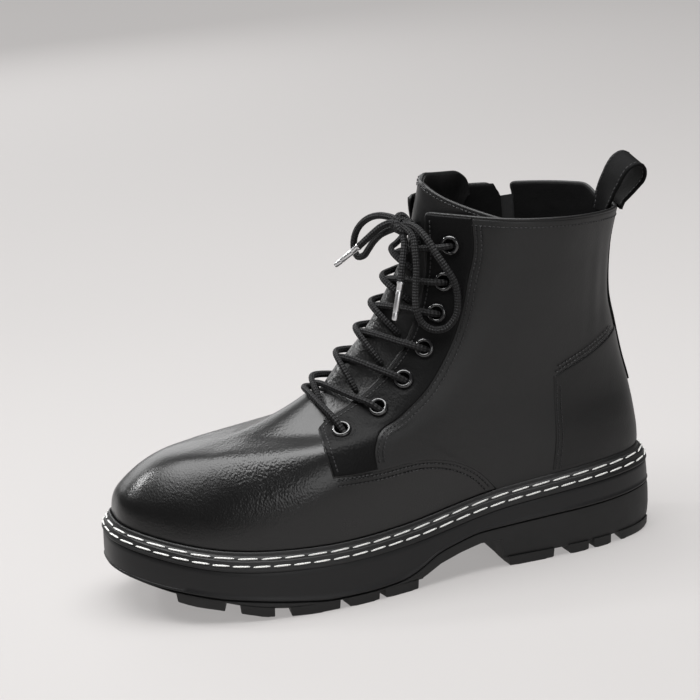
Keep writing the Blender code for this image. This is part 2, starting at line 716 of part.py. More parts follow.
def across_throat(start, end, heights):
    """Route from one station and half width to another, at heights above the skin."""
    share = np.linspace(0.0, 1.0, LACE_POINTS)
    station = start[0] + (end[0] - start[0]) * share
    across = start[1] + (end[1] - start[1]) * share
    height = np.interp(share, *zip(*heights))
    level, angle = throat_place(station, across)
    return over_skin(level, angle, height)


def make_lace_rows():
    found = eyelet_stations()
    on_top = LACE / 2 + 2.7
    (station, half) = found[0]
    heights = ((0.0, on_top), (0.25, 3.0), (0.5, 2.6), (0.75, 3.0), (1.0, on_top))
    route = across_throat((station, half), (station, -half), heights)
    as_mesh(tube("lace_bar", route, LACE, parts, cord()))
    over = ((0.0, -0.3), (0.36, 4.4), (0.62, 3.0), (1.0, on_top))
    under = ((0.0, -0.3), (0.2, 1.3), (0.36, 2.1), (0.62, 2.3), (1.0, on_top))
    for number in range(len(found) - 1):
        here, there = found[number], found[number + 1]
        strands = []
        for side, name, heights in ((1.0, "a", over), (-1.0, "b", under)):
            start = throat_half(here[0]) - EMERGE
            route = across_throat((here[0] + 0.004, side * start), (there[0], -side * there[1]), heights)
            strands.append(as_mesh(tube(f"lace_cross_{number + 1}_{name}", route, LACE, parts, cord())))
        join_strands(strands, f"lace_cross_{number + 1}")
    top = found[-1]
    strands = []
    for side, name in ((1.0, "a"), (-1.0, "b")):
        stations = np.array([top[0] - 0.012, top[0] + 0.012])
        start = throat_half(top[0]) - EMERGE
        level, angle = throat_place(stations, side * np.array([start, start * 0.75]))
        low = over_skin(level, angle, np.array([-0.1, 1.1]))
        behind = np.array(KNOT) + (-4.7, side * 1.8, -1.4 - 0.5 * side)
        beyond = np.array(KNOT) + (-4.7, -side * 2.6, 0.4 - 0.5 * side)
        route = through([*low, behind, beyond], 7)
        strands.append(as_mesh(tube(f"lace_top_{name}", route, LACE, parts, cord())))
    join_strands(strands, "lace_top")


def join_strands(strands, name):
    """Two crossing strands made one solid."""
    first, second = strands
    union = first.modifiers.new("join", "BOOLEAN")
    union.operation = "UNION"
    union.solver = "EXACT"
    union.object = second
    bpy.context.view_layer.update()
    mesh = bpy.data.meshes.new_from_object(first.evaluated_get(bpy.context.evaluated_depsgraph_get()))
    mesh.name = name
    for strand in strands:
        bpy.data.objects.remove(strand)
    add_object(name, mesh, parts)


def make_bow():
    """Knot, two loops and two ends with their tips."""
    work = bmesh.new()
    bmesh.ops.create_uvsphere(work, u_segments=10, v_segments=7, radius=1.0)
    bmesh.ops.scale(work, verts=work.verts, vec=Vector((2.4, 4.6, 3.8)) * MM)
    bmesh.ops.translate(work, verts=work.verts, vec=Vector(metres(KNOT)))
    mesh = bpy.data.meshes.new("lace_knot")
    work.to_mesh(mesh)
    work.free()
    add_object("lace_knot", mesh, parts, cord())
    tube("lace_loop_medial", through(LOOP_MEDIAL, 17), LACE, parts, cord())
    tube("lace_loop_lateral", through(LOOP_LATERAL, 20), LACE, parts, cord())
    tube("lace_end_medial", through(END_MEDIAL, 5), LACE, parts, cord())
    tube("lace_end_front", through(END_FRONT, 5), LACE, parts, cord())
    tip = material("aglet", (0.62, 0.62, 0.63), 0.25, 1.0)
    tube("aglet_medial", AGLET_MEDIAL, AGLET_WIDE, parts, tip)
    tube("aglet_front", AGLET_FRONT, AGLET_WIDE, parts, tip)


# ---------------------------------------------------------------- pull loop
def make_pull_loop():
    """Strip sewn to both faces of the collar's back, which leans a little to the outer side."""
    across = np.linspace(-LOOP_WIDE / 2, LOOP_WIDE / 2, 4)
    collar = LAST[-2]
    turn = np.pi - np.sign(across) * np.arcsin((np.abs(across) / collar.heel) ** (collar.back_round / 2))
    inner = WALL + 3 * GAP + LOOP_THICK / 2
    outer = 2 * GAP + LOOP_THICK / 2
    rows = [over_skin(level, turn, -inner) for level in LOOP_LEGS]
    for x, z in through([(x, 0.0, z) for x, z in LOOP_PATH], 13)[:, [0, 2]]:
        flat = np.clip((z + 1.0) / 14.0, 0.0, 1.0)
        curl = across**2 / 62.0 * (1.0 - flat)
        lean = math.sin(LOOP_LEAN) * flat
        rows.append(np.column_stack([collar.back_x + x + curl, across + lean * z,
                                     collar.back_z + z - lean * across]))
    rows += [over_skin(level, turn, outer) for level in reversed(LOOP_LEGS)]
    mesh = mesh_of_rows("pull_loop", rows)
    loop = add_object("pull_loop", mesh, parts, leather())
    solid = loop.modifiers.new("strip", "SOLIDIFY")
    solid.thickness = LOOP_THICK * MM
    solid.offset = 0.0
    solid.use_even_offset = True


# ---------------------------------------------------------------- zip
def make_zip_chain():
    """Closed teeth on their tape, set into the slot."""
    heights = np.linspace(66.8, 170.6, 12)
    half = ZIP_SLOT_HALF - GAP
    rows = [inner_side(zip_x(z) + np.array([-half, 0.0, half]), np.full(3, z), -0.5) for z in heights]
    mesh = mesh_of_rows("zip_chain", rows)
    chain = add_object("zip_chain", mesh, parts, material("zip_tape", (0.015, 0.015, 0.016), 0.75))
    level, angle = side_place(zip_x(120.0), 120.0)
    if mesh.polygons[len(mesh.polygons) // 2].normal.dot(Vector(outward(level, -angle))) < 0:
        mesh.flip_normals()
    thicken(chain, 1.4)


def zip_frame():
    """Frame at the slider: X across the zip, Y up along it, Z out from the skin."""
    level, angle = side_place(zip_x(SLIDER_Z), SLIDER_Z)
    place = skin(level, -angle)
    up = Vector(inner_side(zip_x(SLIDER_Z + 4.0), SLIDER_Z + 4.0, 0.0) - place).normalized()
    out = Vector(outward(level, -angle))
    out = (out - up * out.dot(up)).normalized()
    across = up.cross(out)
    turn = Matrix((across, up, out)).transposed().to_4x4()
    return Matrix.Translation(Vector(metres(place))) @ turn


def boxed(size, centre):
    """Bevelled block as a bmesh, in mm of the zip's frame."""
    work = bmesh.new()
    bmesh.ops.create_cube(work, size=1.0)
    bmesh.ops.scale(work, verts=work.verts, vec=Vector(size) * MM)
    bmesh.ops.translate(work, verts=work.verts, vec=Vector(centre) * MM)
    return work


def union_of(name, blocks, finish, collection):
    """One solid from several blocks that overlap."""
    made = []
    for number, work in enumerate(blocks):
        mesh = bpy.data.meshes.new(f"{name}_{number}")
        bmesh.ops.recalc_face_normals(work, faces=work.faces)
        work.to_mesh(mesh)
        work.free()
        made.append(add_object(f"{name}_{number}", mesh, collection))
    for other in made[1:]:
        union = made[0].modifiers.new("join", "BOOLEAN")
        union.operation = "UNION"
        union.solver = "EXACT"
        union.object = other
    bpy.context.view_layer.update()
    mesh = bpy.data.meshes.new_from_object(made[0].evaluated_get(bpy.context.evaluated_depsgraph_get()))
    mesh.name = name
    for old in made:
        bpy.data.objects.remove(old)
    return add_object(name, mesh, collection, finish)


HINGE_OUT = 3.3                        # height of the pull tab's pin above the skin
BODY_TOP = 2.0                         # height of the slider's face above the skin


def make_zip_slider():
    """Wedge-shaped body with a crown over the pull tab's pin."""
    body = boxed((7.2, 9.6, BODY_TOP + 0.1), (0.0, 0.0, (BODY_TOP - 0.1) / 2))
    for corner in body.verts:
        if corner.co.y < 0:
            corner.co.x *= 0.74
    bmesh.ops.bevel(body, geom=list(body.edges), offset=0.35 * MM, segments=1, affect="EDGES", profile=0.5)
    crown_out = HINGE_OUT + 1.0
    legs = [boxed((1.5, 1.1, crown_out - BODY_TOP + 1.2), (0.0, y, (crown_out + BODY_TOP - 1.2) / 2))
            for y in (-2.1, 2.1)]
    roof = boxed((1.5, 5.3, 0.9), (0.0, 0.0, crown_out + 0.35))
    slider = union_of("zip_slider", [body, *legs, roof], silver(), parts)
    slider.matrix_world = zip_frame()


def make_zip_pull():
    """Pin, two arms, neck and square plate, which swing on the pin under the slider's crown."""
    pin = bmesh.new()
    bmesh.ops.create_cone(pin, cap_ends=True, segments=8, radius1=0.6 * MM, radius2=0.6 * MM,
                          depth=4.6 * MM, matrix=Matrix.Rotation(math.pi / 2, 4, "Y"))
    arms = [boxed((0.9, 4.6, 1.1), (x, -2.1, 0.0)) for x in (-1.85, 1.85)]
    neck = boxed((2.6, 5.4, 1.1), (0.0, -6.6, 0.0))
    bridge = boxed((4.6, 1.1, 1.1), (0.0, -4.4, 0.0))
    plate_block = boxed((7.4, 7.4, 1.3), (0.0, -12.6, 0.0))
    bmesh.ops.bevel(plate_block, geom=list(plate_block.edges), offset=0.3 * MM, segments=1, affect="EDGES", profile=0.5)
    pull = union_of("zip_pull", [pin, *arms, bridge, neck, plate_block], silver(), parts)
    pull.matrix_world = zip_frame() @ Matrix.Translation((0.0, 0.0, HINGE_OUT * MM))


# ---------------------------------------------------------------- assembly
for old in list(bpy.data.objects):
    bpy.data.objects.remove(old)
parts = bpy.data.collections.new("motorcycle_boot")
cutters = bpy.data.collections.new("cutters")
for group in (parts, cutters):
    bpy.context.scene.collection.children.link(group)

make_outsole()
make_midsole()
make_insole()
make_welt()
make_upper()
make_tongue()
make_eyelets()
make_lace_rows()
make_bow()
make_pull_loop()
make_zip_chain()
make_zip_slider()
make_zip_pull()
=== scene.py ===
"""Looks of the left motorcycle boot, piece by piece in the order in which it is put together.

+X runs to the toe, +Y to the boot's outer side, +Z up. Sizes are in millimetres from the back
of the last, as on the cutting patterns, and metres() moves them into the frame.
"""

import json
import math
from collections import namedtuple

import bmesh
import bpy
import numpy as np
from mathutils import Matrix, Vector
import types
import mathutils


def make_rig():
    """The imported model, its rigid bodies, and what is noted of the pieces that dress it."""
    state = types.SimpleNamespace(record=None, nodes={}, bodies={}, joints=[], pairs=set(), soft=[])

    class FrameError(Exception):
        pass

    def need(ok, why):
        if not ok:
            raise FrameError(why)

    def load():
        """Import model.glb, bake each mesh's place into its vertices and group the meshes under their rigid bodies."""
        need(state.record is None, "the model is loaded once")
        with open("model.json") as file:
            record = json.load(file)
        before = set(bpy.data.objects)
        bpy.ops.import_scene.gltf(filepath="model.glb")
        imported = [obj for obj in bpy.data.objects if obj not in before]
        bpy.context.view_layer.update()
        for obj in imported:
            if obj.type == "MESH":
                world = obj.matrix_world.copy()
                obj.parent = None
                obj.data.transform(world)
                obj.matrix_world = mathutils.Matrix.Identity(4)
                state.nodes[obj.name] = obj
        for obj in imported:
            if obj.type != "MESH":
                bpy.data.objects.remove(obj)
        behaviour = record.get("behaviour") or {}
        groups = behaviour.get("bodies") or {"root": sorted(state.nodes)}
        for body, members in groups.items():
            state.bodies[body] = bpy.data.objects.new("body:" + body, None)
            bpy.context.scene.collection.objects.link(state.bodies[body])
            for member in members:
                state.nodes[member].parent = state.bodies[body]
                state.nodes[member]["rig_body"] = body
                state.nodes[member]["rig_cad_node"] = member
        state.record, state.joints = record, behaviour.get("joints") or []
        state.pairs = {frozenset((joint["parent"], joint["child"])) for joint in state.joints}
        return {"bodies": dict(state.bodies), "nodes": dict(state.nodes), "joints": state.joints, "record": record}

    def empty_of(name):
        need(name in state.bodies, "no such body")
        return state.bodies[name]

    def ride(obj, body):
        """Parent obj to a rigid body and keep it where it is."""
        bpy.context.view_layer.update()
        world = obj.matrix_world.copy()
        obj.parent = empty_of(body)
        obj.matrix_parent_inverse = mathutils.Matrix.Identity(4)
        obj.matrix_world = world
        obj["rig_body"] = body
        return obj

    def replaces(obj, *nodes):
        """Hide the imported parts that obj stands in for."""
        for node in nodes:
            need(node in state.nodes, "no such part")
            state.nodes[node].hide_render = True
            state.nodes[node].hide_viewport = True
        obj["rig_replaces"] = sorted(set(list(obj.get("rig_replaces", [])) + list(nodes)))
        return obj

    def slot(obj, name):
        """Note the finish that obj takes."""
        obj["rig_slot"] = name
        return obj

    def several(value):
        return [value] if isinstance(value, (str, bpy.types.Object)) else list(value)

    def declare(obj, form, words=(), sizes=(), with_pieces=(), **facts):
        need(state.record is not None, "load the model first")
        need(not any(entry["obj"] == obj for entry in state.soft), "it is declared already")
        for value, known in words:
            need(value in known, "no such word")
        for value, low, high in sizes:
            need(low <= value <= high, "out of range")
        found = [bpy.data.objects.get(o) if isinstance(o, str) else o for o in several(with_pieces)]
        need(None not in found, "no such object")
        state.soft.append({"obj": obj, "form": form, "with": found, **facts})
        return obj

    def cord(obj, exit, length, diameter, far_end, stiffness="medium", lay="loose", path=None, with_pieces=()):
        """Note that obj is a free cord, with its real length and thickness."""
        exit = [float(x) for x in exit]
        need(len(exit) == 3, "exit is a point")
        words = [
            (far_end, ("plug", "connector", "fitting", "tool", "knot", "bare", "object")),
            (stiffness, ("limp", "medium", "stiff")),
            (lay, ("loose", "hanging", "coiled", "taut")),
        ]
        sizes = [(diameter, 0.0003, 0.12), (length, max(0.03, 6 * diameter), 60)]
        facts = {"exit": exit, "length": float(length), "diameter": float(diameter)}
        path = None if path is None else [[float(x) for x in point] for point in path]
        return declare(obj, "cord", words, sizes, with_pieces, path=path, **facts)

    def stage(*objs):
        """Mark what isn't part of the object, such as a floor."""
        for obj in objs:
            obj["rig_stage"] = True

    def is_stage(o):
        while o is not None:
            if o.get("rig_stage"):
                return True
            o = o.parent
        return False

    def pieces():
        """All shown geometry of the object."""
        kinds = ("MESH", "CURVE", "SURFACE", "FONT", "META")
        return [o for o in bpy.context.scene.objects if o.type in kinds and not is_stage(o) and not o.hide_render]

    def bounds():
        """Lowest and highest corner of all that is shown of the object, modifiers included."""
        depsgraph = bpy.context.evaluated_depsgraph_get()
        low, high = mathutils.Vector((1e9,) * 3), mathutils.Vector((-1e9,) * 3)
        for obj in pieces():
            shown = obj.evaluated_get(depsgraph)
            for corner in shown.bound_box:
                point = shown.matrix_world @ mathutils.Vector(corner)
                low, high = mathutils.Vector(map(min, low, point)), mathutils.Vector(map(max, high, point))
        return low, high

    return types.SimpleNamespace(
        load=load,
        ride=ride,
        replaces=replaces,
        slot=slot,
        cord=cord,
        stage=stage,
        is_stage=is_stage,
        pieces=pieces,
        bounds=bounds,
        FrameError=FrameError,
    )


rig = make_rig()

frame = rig.load()
cad_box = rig.bounds()

# ------------------------------------------------------------ studio
# A pale seamless floor that glows a little, so that the tread shows against it. A wide soft box
# hangs above the boot and a small one over the toe, with low soft boxes behind the inner side and
# beside the camera, which looks at the outer side.
MM = 0.001
MIDDLE = np.array([146.2, 0.9, -4.3])


def metres(points):
    """Millimetres from the back of the last, as metres in the frame."""
    return (np.asarray(points, float) - MIDDLE) * MM


def link(name, data):
    """An object of the scene that holds this data."""
    made = bpy.data.objects.new(name, data)
    bpy.context.scene.collection.objects.link(made)
    return made


def mesh_of(name, work):
    """A finished bmesh as a mesh."""
    mesh = bpy.data.meshes.new(name)
    work.to_mesh(mesh)
    work.free()
    return mesh


EYE, AIM, TILT = (461.38, 954.21, 397.45), (162.026, 0.0, 114.166), math.radians(-3.742)
lens = bpy.data.cameras.new("camera")
lens.sensor_width = 36.0
lens.lens = 103.63
camera = link("camera", lens)
eye, aim = Vector(metres(EYE)), Vector(metres(AIM))
camera.matrix_world = (Matrix.Translation(eye) @ (eye - aim).to_track_quat("Z", "Y").to_matrix().to_4x4()
                       @ Matrix.Rotation(TILT, 4, "Z"))
bpy.context.scene.camera = camera

FLOOR_WIDE = 24.0
work = bmesh.new()
bmesh.ops.create_grid(work, x_segments=1, y_segments=1, size=FLOOR_WIDE / 2)
floor = link("floor", mesh_of("floor", work))
paper = bpy.data.materials.new("studio_paper")
paper.use_nodes = True
for socket, value in (("Base Color", (0.225, 0.218, 0.215, 1.0)), ("Roughness", 0.9),
                      ("Emission Color", (1.0, 0.968, 0.956, 1.0)), ("Emission Strength", 0.34)):
    paper.node_tree.nodes["Principled BSDF"].inputs[socket].default_value = value
floor.data.materials.append(paper)
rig.stage(floor)

world = bpy.data.worlds.new("studio")
world.use_nodes = True
world.node_tree.nodes["Background"].inputs["Color"].default_value = (1.0, 0.985, 0.975, 1.0)
world.node_tree.nodes["Background"].inputs["Strength"].default_value = 0.11
bpy.context.scene.world = world
bpy.context.scene.view_settings.view_transform = "Standard"

LIGHTS = (                             # name, place, aim, width, height, watts, spread in degrees
    ("overhead", (0.10, 0.0, 1.45), (0.05, 0.0, 0.08), 1.0, 1.8, 41.0, 180.0),
    ("toe", (0.98, -0.68, 0.97), (0.13, 0.0, 0.06), 0.20, 0.20, 0.45, 50.0),
    ("window", (0.30, -2.10, 0.90), (0.05, 0.0, 0.10), 1.8, 1.0, 15.5, 180.0),
    ("side", (-0.20, 2.40, 0.90), (0.0, 0.0, 0.0), 1.6, 1.0, 12.0, 180.0),
    ("backdrop", (0.0, -3.0, 2.6), (0.0, -4.6, 0.0), 4.0, 3.0, 52.0, 180.0),
)
for name, place, target, wide, high, power, spread in LIGHTS:
    lamp = bpy.data.lights.new(name, "AREA")
    lamp.shape = "RECTANGLE"
    lamp.size, lamp.size_y, lamp.energy = wide, high, power
    lamp.spread = math.radians(spread)
    made = link(name, lamp)
    made.matrix_world = (Matrix.Translation(place)
                         @ (Vector(place) - Vector(target)).to_track_quat("Z", "Y").to_matrix().to_4x4())

# ------------------------------------------------------------ insole
# Black cloth over thin board. The upper is pulled over the last and its edge is glued under this
# board, so the last's shape is worked out here and every piece above the sole follows it.
Ring = namedtuple("Ring", "level front_x front_z back_x back_z heel waist ball toe front_round back_round")
LAST = (
    Ring(0.00, 290.0, 34.0, 6.4, 38.0, 35.0, 31.5, 44.0, 44.5, 2.9, 2.9),
    Ring(0.10, 291.5, 43.0, 5.5, 49.0, 36.0, 33.5, 46.5, 44.5, 2.9, 2.9),
    Ring(0.22, 287.0, 57.5, 6.3, 60.5, 36.3, 34.5, 45.5, 39.5, 2.8, 2.7),
    Ring(0.34, 265.0, 73.0, 8.4, 76.0, 35.8, 33.8, 40.0, 31.5, 2.5, 2.3),
    Ring(0.46, 224.0, 79.5, 12.4, 92.0, 34.8, 32.8, 35.0, 26.0, 2.3, 2.2),
    Ring(0.58, 186.0, 95.5, 16.0, 110.0, 34.0, 33.5, 32.5, 23.0, 2.2, 2.2),
    Ring(0.70, 157.0, 120.0, 19.0, 127.0, 33.6, 35.0, 32.5, 23.0, 2.1, 2.2),
    Ring(0.85, 136.0, 152.0, 17.6, 152.5, 34.4, 37.4, 35.4, 24.5, 2.1, 2.2),
    Ring(1.00, 125.0, 184.0, 12.6, 173.5, 34.8, 39.5, 38.5, 27.5, 2.3, 2.2),
    Ring(1.12, 120.5, 204.0, 10.0, 188.0, 35.0, 39.5, 38.5, 27.5, 2.3, 2.2),
)
INNER_LIFT = ((15.0, 7.2), (35.0, 6.2), (58.0, 5.0), (80.0, 4.5))   # x, rise of the inner collar
INNER_TURN = (0.20, 0.28)              # how far round the inner side the rise begins and is whole
INNER_BULGE = 3.0                      # how far the soft wall behind the zip stands out
INNER_BULGE_AT = (28.0, 20.0)          # x of the bulge's middle, and its reach
INNER_FROM = (0.78, 0.22)              # level where both begin, and how soon they are whole
INNER_FALL = 6.0                       # how far the instep falls back on its inner side
INNER_FALL_FROM, INNER_FALL_TO = (0.38, 0.12), (0.86, 0.14)
FALL_TURN = 0.6
WIDTH_SHARES = (0.0, 0.10, 0.38, 0.68, 0.90, 1.0)
END_WIDTHS = (0.98, 0.90)
ANKLE_FADE = (0.30, 0.50)
FEATHER_FADE = 0.34
Station = namedtuple("Station", "x swing feather")
SOLE_LINE = (
    Station(0, -0.5, 40.5), Station(40, -0.8, 39.5), Station(90, 0.0, 36.0), Station(150, 2.4, 28.0),
    Station(200, 1.4, 26.8), Station(250, -2.4, 30.8), Station(300, -9.0, 43.5),
)
WELT_HIGH = 7.0
WALL = 2.2
INSOLE_THICK = 4.0


def smooth(stations, values, at, each=False):
    """Smooth curve through a table's values. With each, every place has its own column of them."""
    stations, values = np.asarray(stations, float), np.asarray(values, float)
    at = np.clip(np.asarray(at, float), stations[0], stations[-1])
    slopes = np.gradient(values, stations, axis=0)
    left = np.clip(np.searchsorted(stations, at) - 1, 0, len(stations) - 2)
    step = stations[left + 1] - stations[left]
    t = (at - stations[left]) / step
    weights = (2 * t**3 - 3 * t**2 + 1, (t**3 - 2 * t**2 + t) * step,
               3 * t**2 - 2 * t**3, (t**3 - t**2) * step)
    low, high = left, left + 1
    if each:
        low, high = (low, np.arange(len(left))), (high, np.arange(len(left)))
    elif values.ndim > 1:
        weights = [weight[..., None] for weight in weights]
    return (weights[0] * values[low] + weights[1] * slopes[low] + weights[2] * values[high]
            + weights[3] * slopes[high])


LEVELS = np.array([ring.level for ring in LAST])
SHAPES = np.array([ring[1:] for ring in LAST])


def ring_at(level):
    """One ring of the last, with an array in each field when level is an array."""
    return Ring(level, *np.moveaxis(smooth(LEVELS, SHAPES, level), -1, 0))


def sole_line(x, name):
    return smooth([row.x for row in SOLE_LINE], [getattr(row, name) for row in SOLE_LINE], x)


def feather(x):
    """Height of the line where the upper meets the welt."""
    return sole_line(x, "feather")


def swing(level, x):
    """Sideways curve of the left foot, which the ankle doesn't share."""
    return ease(1.0 - (level - ANKLE_FADE[0]) / ANKLE_FADE[1]) * sole_line(x, "swing")


def ease(share):
    """Smooth step from 0 to 1."""
    share = np.clip(share, 0.0, 1.0)
    return share * share * (3.0 - 2.0 * share)


def ring_height(ring, share, x):
    """Height of a ring at a share of its length. The lowest rings follow the welt's line."""
    foot = LAST[0]
    dip = np.clip(1.0 - ring.level / FEATHER_FADE, 0.0, 1.0) ** 2
    straight = foot.back_z + (foot.front_z - foot.back_z) * share
    return ring.back_z + (ring.front_z - ring.back_z) * share + dip * (feather(x) - WELT_HIGH - straight)


def skin(level, angle):
    """Outer face of the upper. Angle 0 is the front, and + turns to the outer side."""
    level, angle = np.broadcast_arrays(np.asarray(level, float), np.asarray(angle, float))
    shape = level.shape
    level, angle = level.ravel(), angle.ravel()
    ring = ring_at(level)
    cosine, sine = np.cos(angle), np.sin(angle)
    power = 2.0 / np.where(cosine > 0, ring.front_round, ring.back_round)
    share = (np.sign(cosine) * np.abs(cosine) ** power + 1.0) / 2.0
    widths = np.stack([ring.heel * END_WIDTHS[0], ring.heel, ring.waist, ring.ball, ring.toe,
                       ring.toe * END_WIDTHS[1]])
    across = np.sign(sine) * np.abs(sine) ** power * smooth(WIDTH_SHARES, widths, share, True)
    x = ring.back_x + (ring.front_x - ring.back_x) * share
    inner = (ease((level - INNER_FROM[0]) / INNER_FROM[1])
             * ease((-sine - INNER_TURN[0]) / INNER_TURN[1]))
    bulge = INNER_BULGE * np.exp(-((x - INNER_BULGE_AT[0]) / INNER_BULGE_AT[1]) ** 2)
    fall = (INNER_FALL * ease((level - INNER_FALL_FROM[0]) / INNER_FALL_FROM[1])
            * (1.0 - ease((level - INNER_FALL_TO[0]) / INNER_FALL_TO[1]))
            * ease(-sine / FALL_TURN) * ease((cosine + 0.2) / FALL_TURN))
    lift = np.interp(x, *zip(*INNER_LIFT))
    points = np.stack([x - fall, across + swing(level, x) - inner * bulge,
                       ring_height(ring, share, x) + inner * lift], axis=-1)
    return points.reshape(shape + (3,))


def unit(ways):
    """The same directions, each of length one."""
    return ways / np.linalg.norm(ways, axis=-1, keepdims=True)


def run_along(line):
    """Length along a line up to each of its points."""
    return np.concatenate([[0.0], np.cumsum(np.linalg.norm(np.diff(line, axis=0), axis=1))])


def outward(level, angle):
    """Unit normal of the upper's outer face."""
    top = LAST[-1].level
    rise = skin(np.minimum(level + 0.004, top), angle) - skin(np.maximum(level - 0.004, 0.0), angle)
    turn = skin(level, angle + 0.02) - skin(level, angle - 0.02)
    return unit(np.cross(turn, rise))


def over_skin(level, angle, height):
    """Points a height above the upper's outer face, or below it when height is negative."""
    return skin(level, angle) + outward(level, angle) * np.expand_dims(np.asarray(height, float), -1)


HALF_TURN = np.linspace(0.0, math.pi, 241)


def around(level, count):
    """Angles once around a ring, closer together at its front and back, where it turns most."""
    table = run_along(skin(level, HALF_TURN))
    share = np.arange(count // 2 + 1) / (count // 2)
    share = share - 0.5 * np.sin(2.0 * math.pi * share) / (2.0 * math.pi)
    angles = np.interp(share * table[-1], table, HALF_TURN)
    return np.concatenate([angles, -angles[-2:0:-1]])


SOLE_COLUMNS = 240


def outline(offset):
    """Outline that runs a distance outside the upper's lower edge, counter-clockwise from the toe."""
    edge = skin(0.0, around(0.0, SOLE_COLUMNS))[:, :2]
    run = np.roll(edge, -1, axis=0) - np.roll(edge, 1, axis=0)
    return edge + unit(np.stack([run[:, 1], -run[:, 0]], axis=1)) * np.reshape(offset, (-1, 1))


def spine():
    """Points down the middle of the sole that the outline's points close in on."""
    edge = outline(0.0)
    return (edge + edge[-np.arange(SOLE_COLUMNS) % SOLE_COLUMNS]) / 2.0


def sole_row(offset, height, share=1.0):
    """One row around the sole, closed on itself, at a height that may change along x."""
    edge = spine() + (outline(offset) - spine()) * share
    flat = np.column_stack([edge, height(edge[:, 0]) + np.zeros(len(edge))])
    return np.vstack([flat, flat[:1]])


def sheet_mesh(rows):
    """One grid whose corners are moved to rows of points, with a UV map in metres along both ways."""
    rows = np.asarray(rows, float)
    high, wide = rows.shape[:2]
    work = bmesh.new()
    work.loops.layers.uv.new("UVMap")
    bmesh.ops.create_grid(work, x_segments=wide - 1, y_segments=high - 1, size=0.5, calc_uvs=True)
    mesh = mesh_of("sheet", work)
    mesh.vertices.foreach_set("co", metres(rows).astype(np.float32).ravel())
    uv = np.empty(len(mesh.loops) * 2, np.float32)
    mesh.uv_layers[0].data.foreach_get("uv", uv)
    reach = (np.linalg.norm(np.diff(rows, axis=1), axis=-1).sum(axis=1).mean() * MM,
             np.linalg.norm(np.diff(rows, axis=0), axis=-1).sum(axis=0).mean() * MM)
    mesh.uv_layers[0].data.foreach_set("uv", (uv.reshape(-1, 2) * reach).astype(np.float32).ravel())
    return mesh


def welded(sheets):
    """One or more sheets whose meeting edges are merged."""
    work = bmesh.new()
    for rows in sheets:
        sheet = sheet_mesh(rows)
        work.from_mesh(sheet)
        bpy.data.meshes.remove(sheet)
    bmesh.ops.remove_doubles(work, verts=work.verts, dist=3e-6)
    return work


def piece(name, work, finish, smooth_angle=50.0):
    """A bmesh as an object that rides with the boot."""
    mesh = mesh_of(name, work)
    mesh.materials.append(finish)
    mesh.shade_smooth()
    mesh.set_sharp_from_angle(angle=math.radians(smooth_angle))
    made = link(name, mesh)
    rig.ride(made, "boot")
    return made


def joined(name, sheets, finish, recalculate=True):
    """A piece made of one or more sheets."""
    work = welded(sheets)
    if recalculate:
        bmesh.ops.recalc_face_normals(work, faces=work.faces)
    return piece(name, work, finish)


class Wire:
    """One value in a material's nodes, so that sums on it are written as plain expressions."""

    def __init__(self, finish, socket):
        self.finish, self.socket = finish, socket

    def sum(self, operation, *values):
        return self.finish.node("ShaderNodeMath", {"operation": operation}, dict(enumerate(values)))

    def __add__(self, other):
        return self.sum("ADD", self, other)

    def __sub__(self, other):
        return self.sum("SUBTRACT", self, other)

    def __rsub__(self, other):
        return self.sum("SUBTRACT", other, self)

    def __mul__(self, other):
        return self.sum("MULTIPLY", self, other)

    __radd__, __rmul__ = __add__, __mul__


class Finish:
    """A material under way, whose constants sit on its own shader."""

    def __init__(self, name, colour, roughness, **constants):
        self.material = bpy.data.materials.new(name)
        self.material.use_nodes = True
        self.tree = self.material.node_tree
        self.shader = self.tree.nodes["Principled BSDF"]
        self.wear({"Base Color": (*colour, 1.0), "Roughness": roughness, **constants})
        self.place = self.node("ShaderNodeTexCoord", output="Object")

    def put(self, node, values):
        for name, value in values.items():
            if isinstance(value, Wire):
                self.tree.links.new(value.socket, node.inputs[name])
            else:
                node.inputs[name].default_value = value

    def node(self, kind, settings=None, values=None, output=0):
        """Any node: its settings first, then the values or links of its sockets."""
        made = self.tree.nodes.new(kind)
        for name, value in (settings or {}).items():
            if name == "stops":
                while len(made.color_ramp.elements) < len(value):
                    made.color_ramp.elements.new(0.5)
                for stop, (position, tone) in zip(made.color_ramp.elements, value):
                    stop.position, stop.color = position, (tone, tone, tone, 1.0)
            else:
                setattr(made, name, value)
        self.put(made, values or {})
        return Wire(self, made.outputs[output])

    def wear(self, values):
        self.put(self.shader, values)

    def noise(self, scale, detail=3.0):
        return self.node("ShaderNodeTexNoise", None, {"Vector": self.place, "Scale": scale,
                                                      "Detail": detail, "Roughness": 0.55})

    def cells(self, scale, feature="F1", place=None):
        return self.node("ShaderNodeTexVoronoi", {"feature": feature},
                         {"Vector": place or self.place, "Scale": scale}, output="Distance")

    def threads(self, way, scale, distortion, detail=2.0):
        """Bands like threads or twisted yarn, across an axis or diagonally."""
        return self.node("ShaderNodeTexWave", {"bands_direction": way}, {
            "Vector": self.place, "Scale": scale, "Distortion": distortion, "Detail": detail}, output="Fac")

    def spread(self, value, low, high):
        """The 0-to-1 value moved to low-to-high."""
        return self.node("ShaderNodeMapRange", None, {"Value": value, "To Min": low, "To Max": high})

    def tint(self, share, first, second):
        """Colour between two colours."""
        return self.node("ShaderNodeMix", {"data_type": "RGBA"},
                         {0: share, 6: (*first, 1.0), 7: (*second, 1.0)}, output=2)

    def bump(self, height, distance, strength=1.0, over=None):
        values = {"Height": height, "Distance": distance, "Strength": strength}
        if over is not None:
            values["Normal"] = over
        return self.node("ShaderNodeBump", None, values)


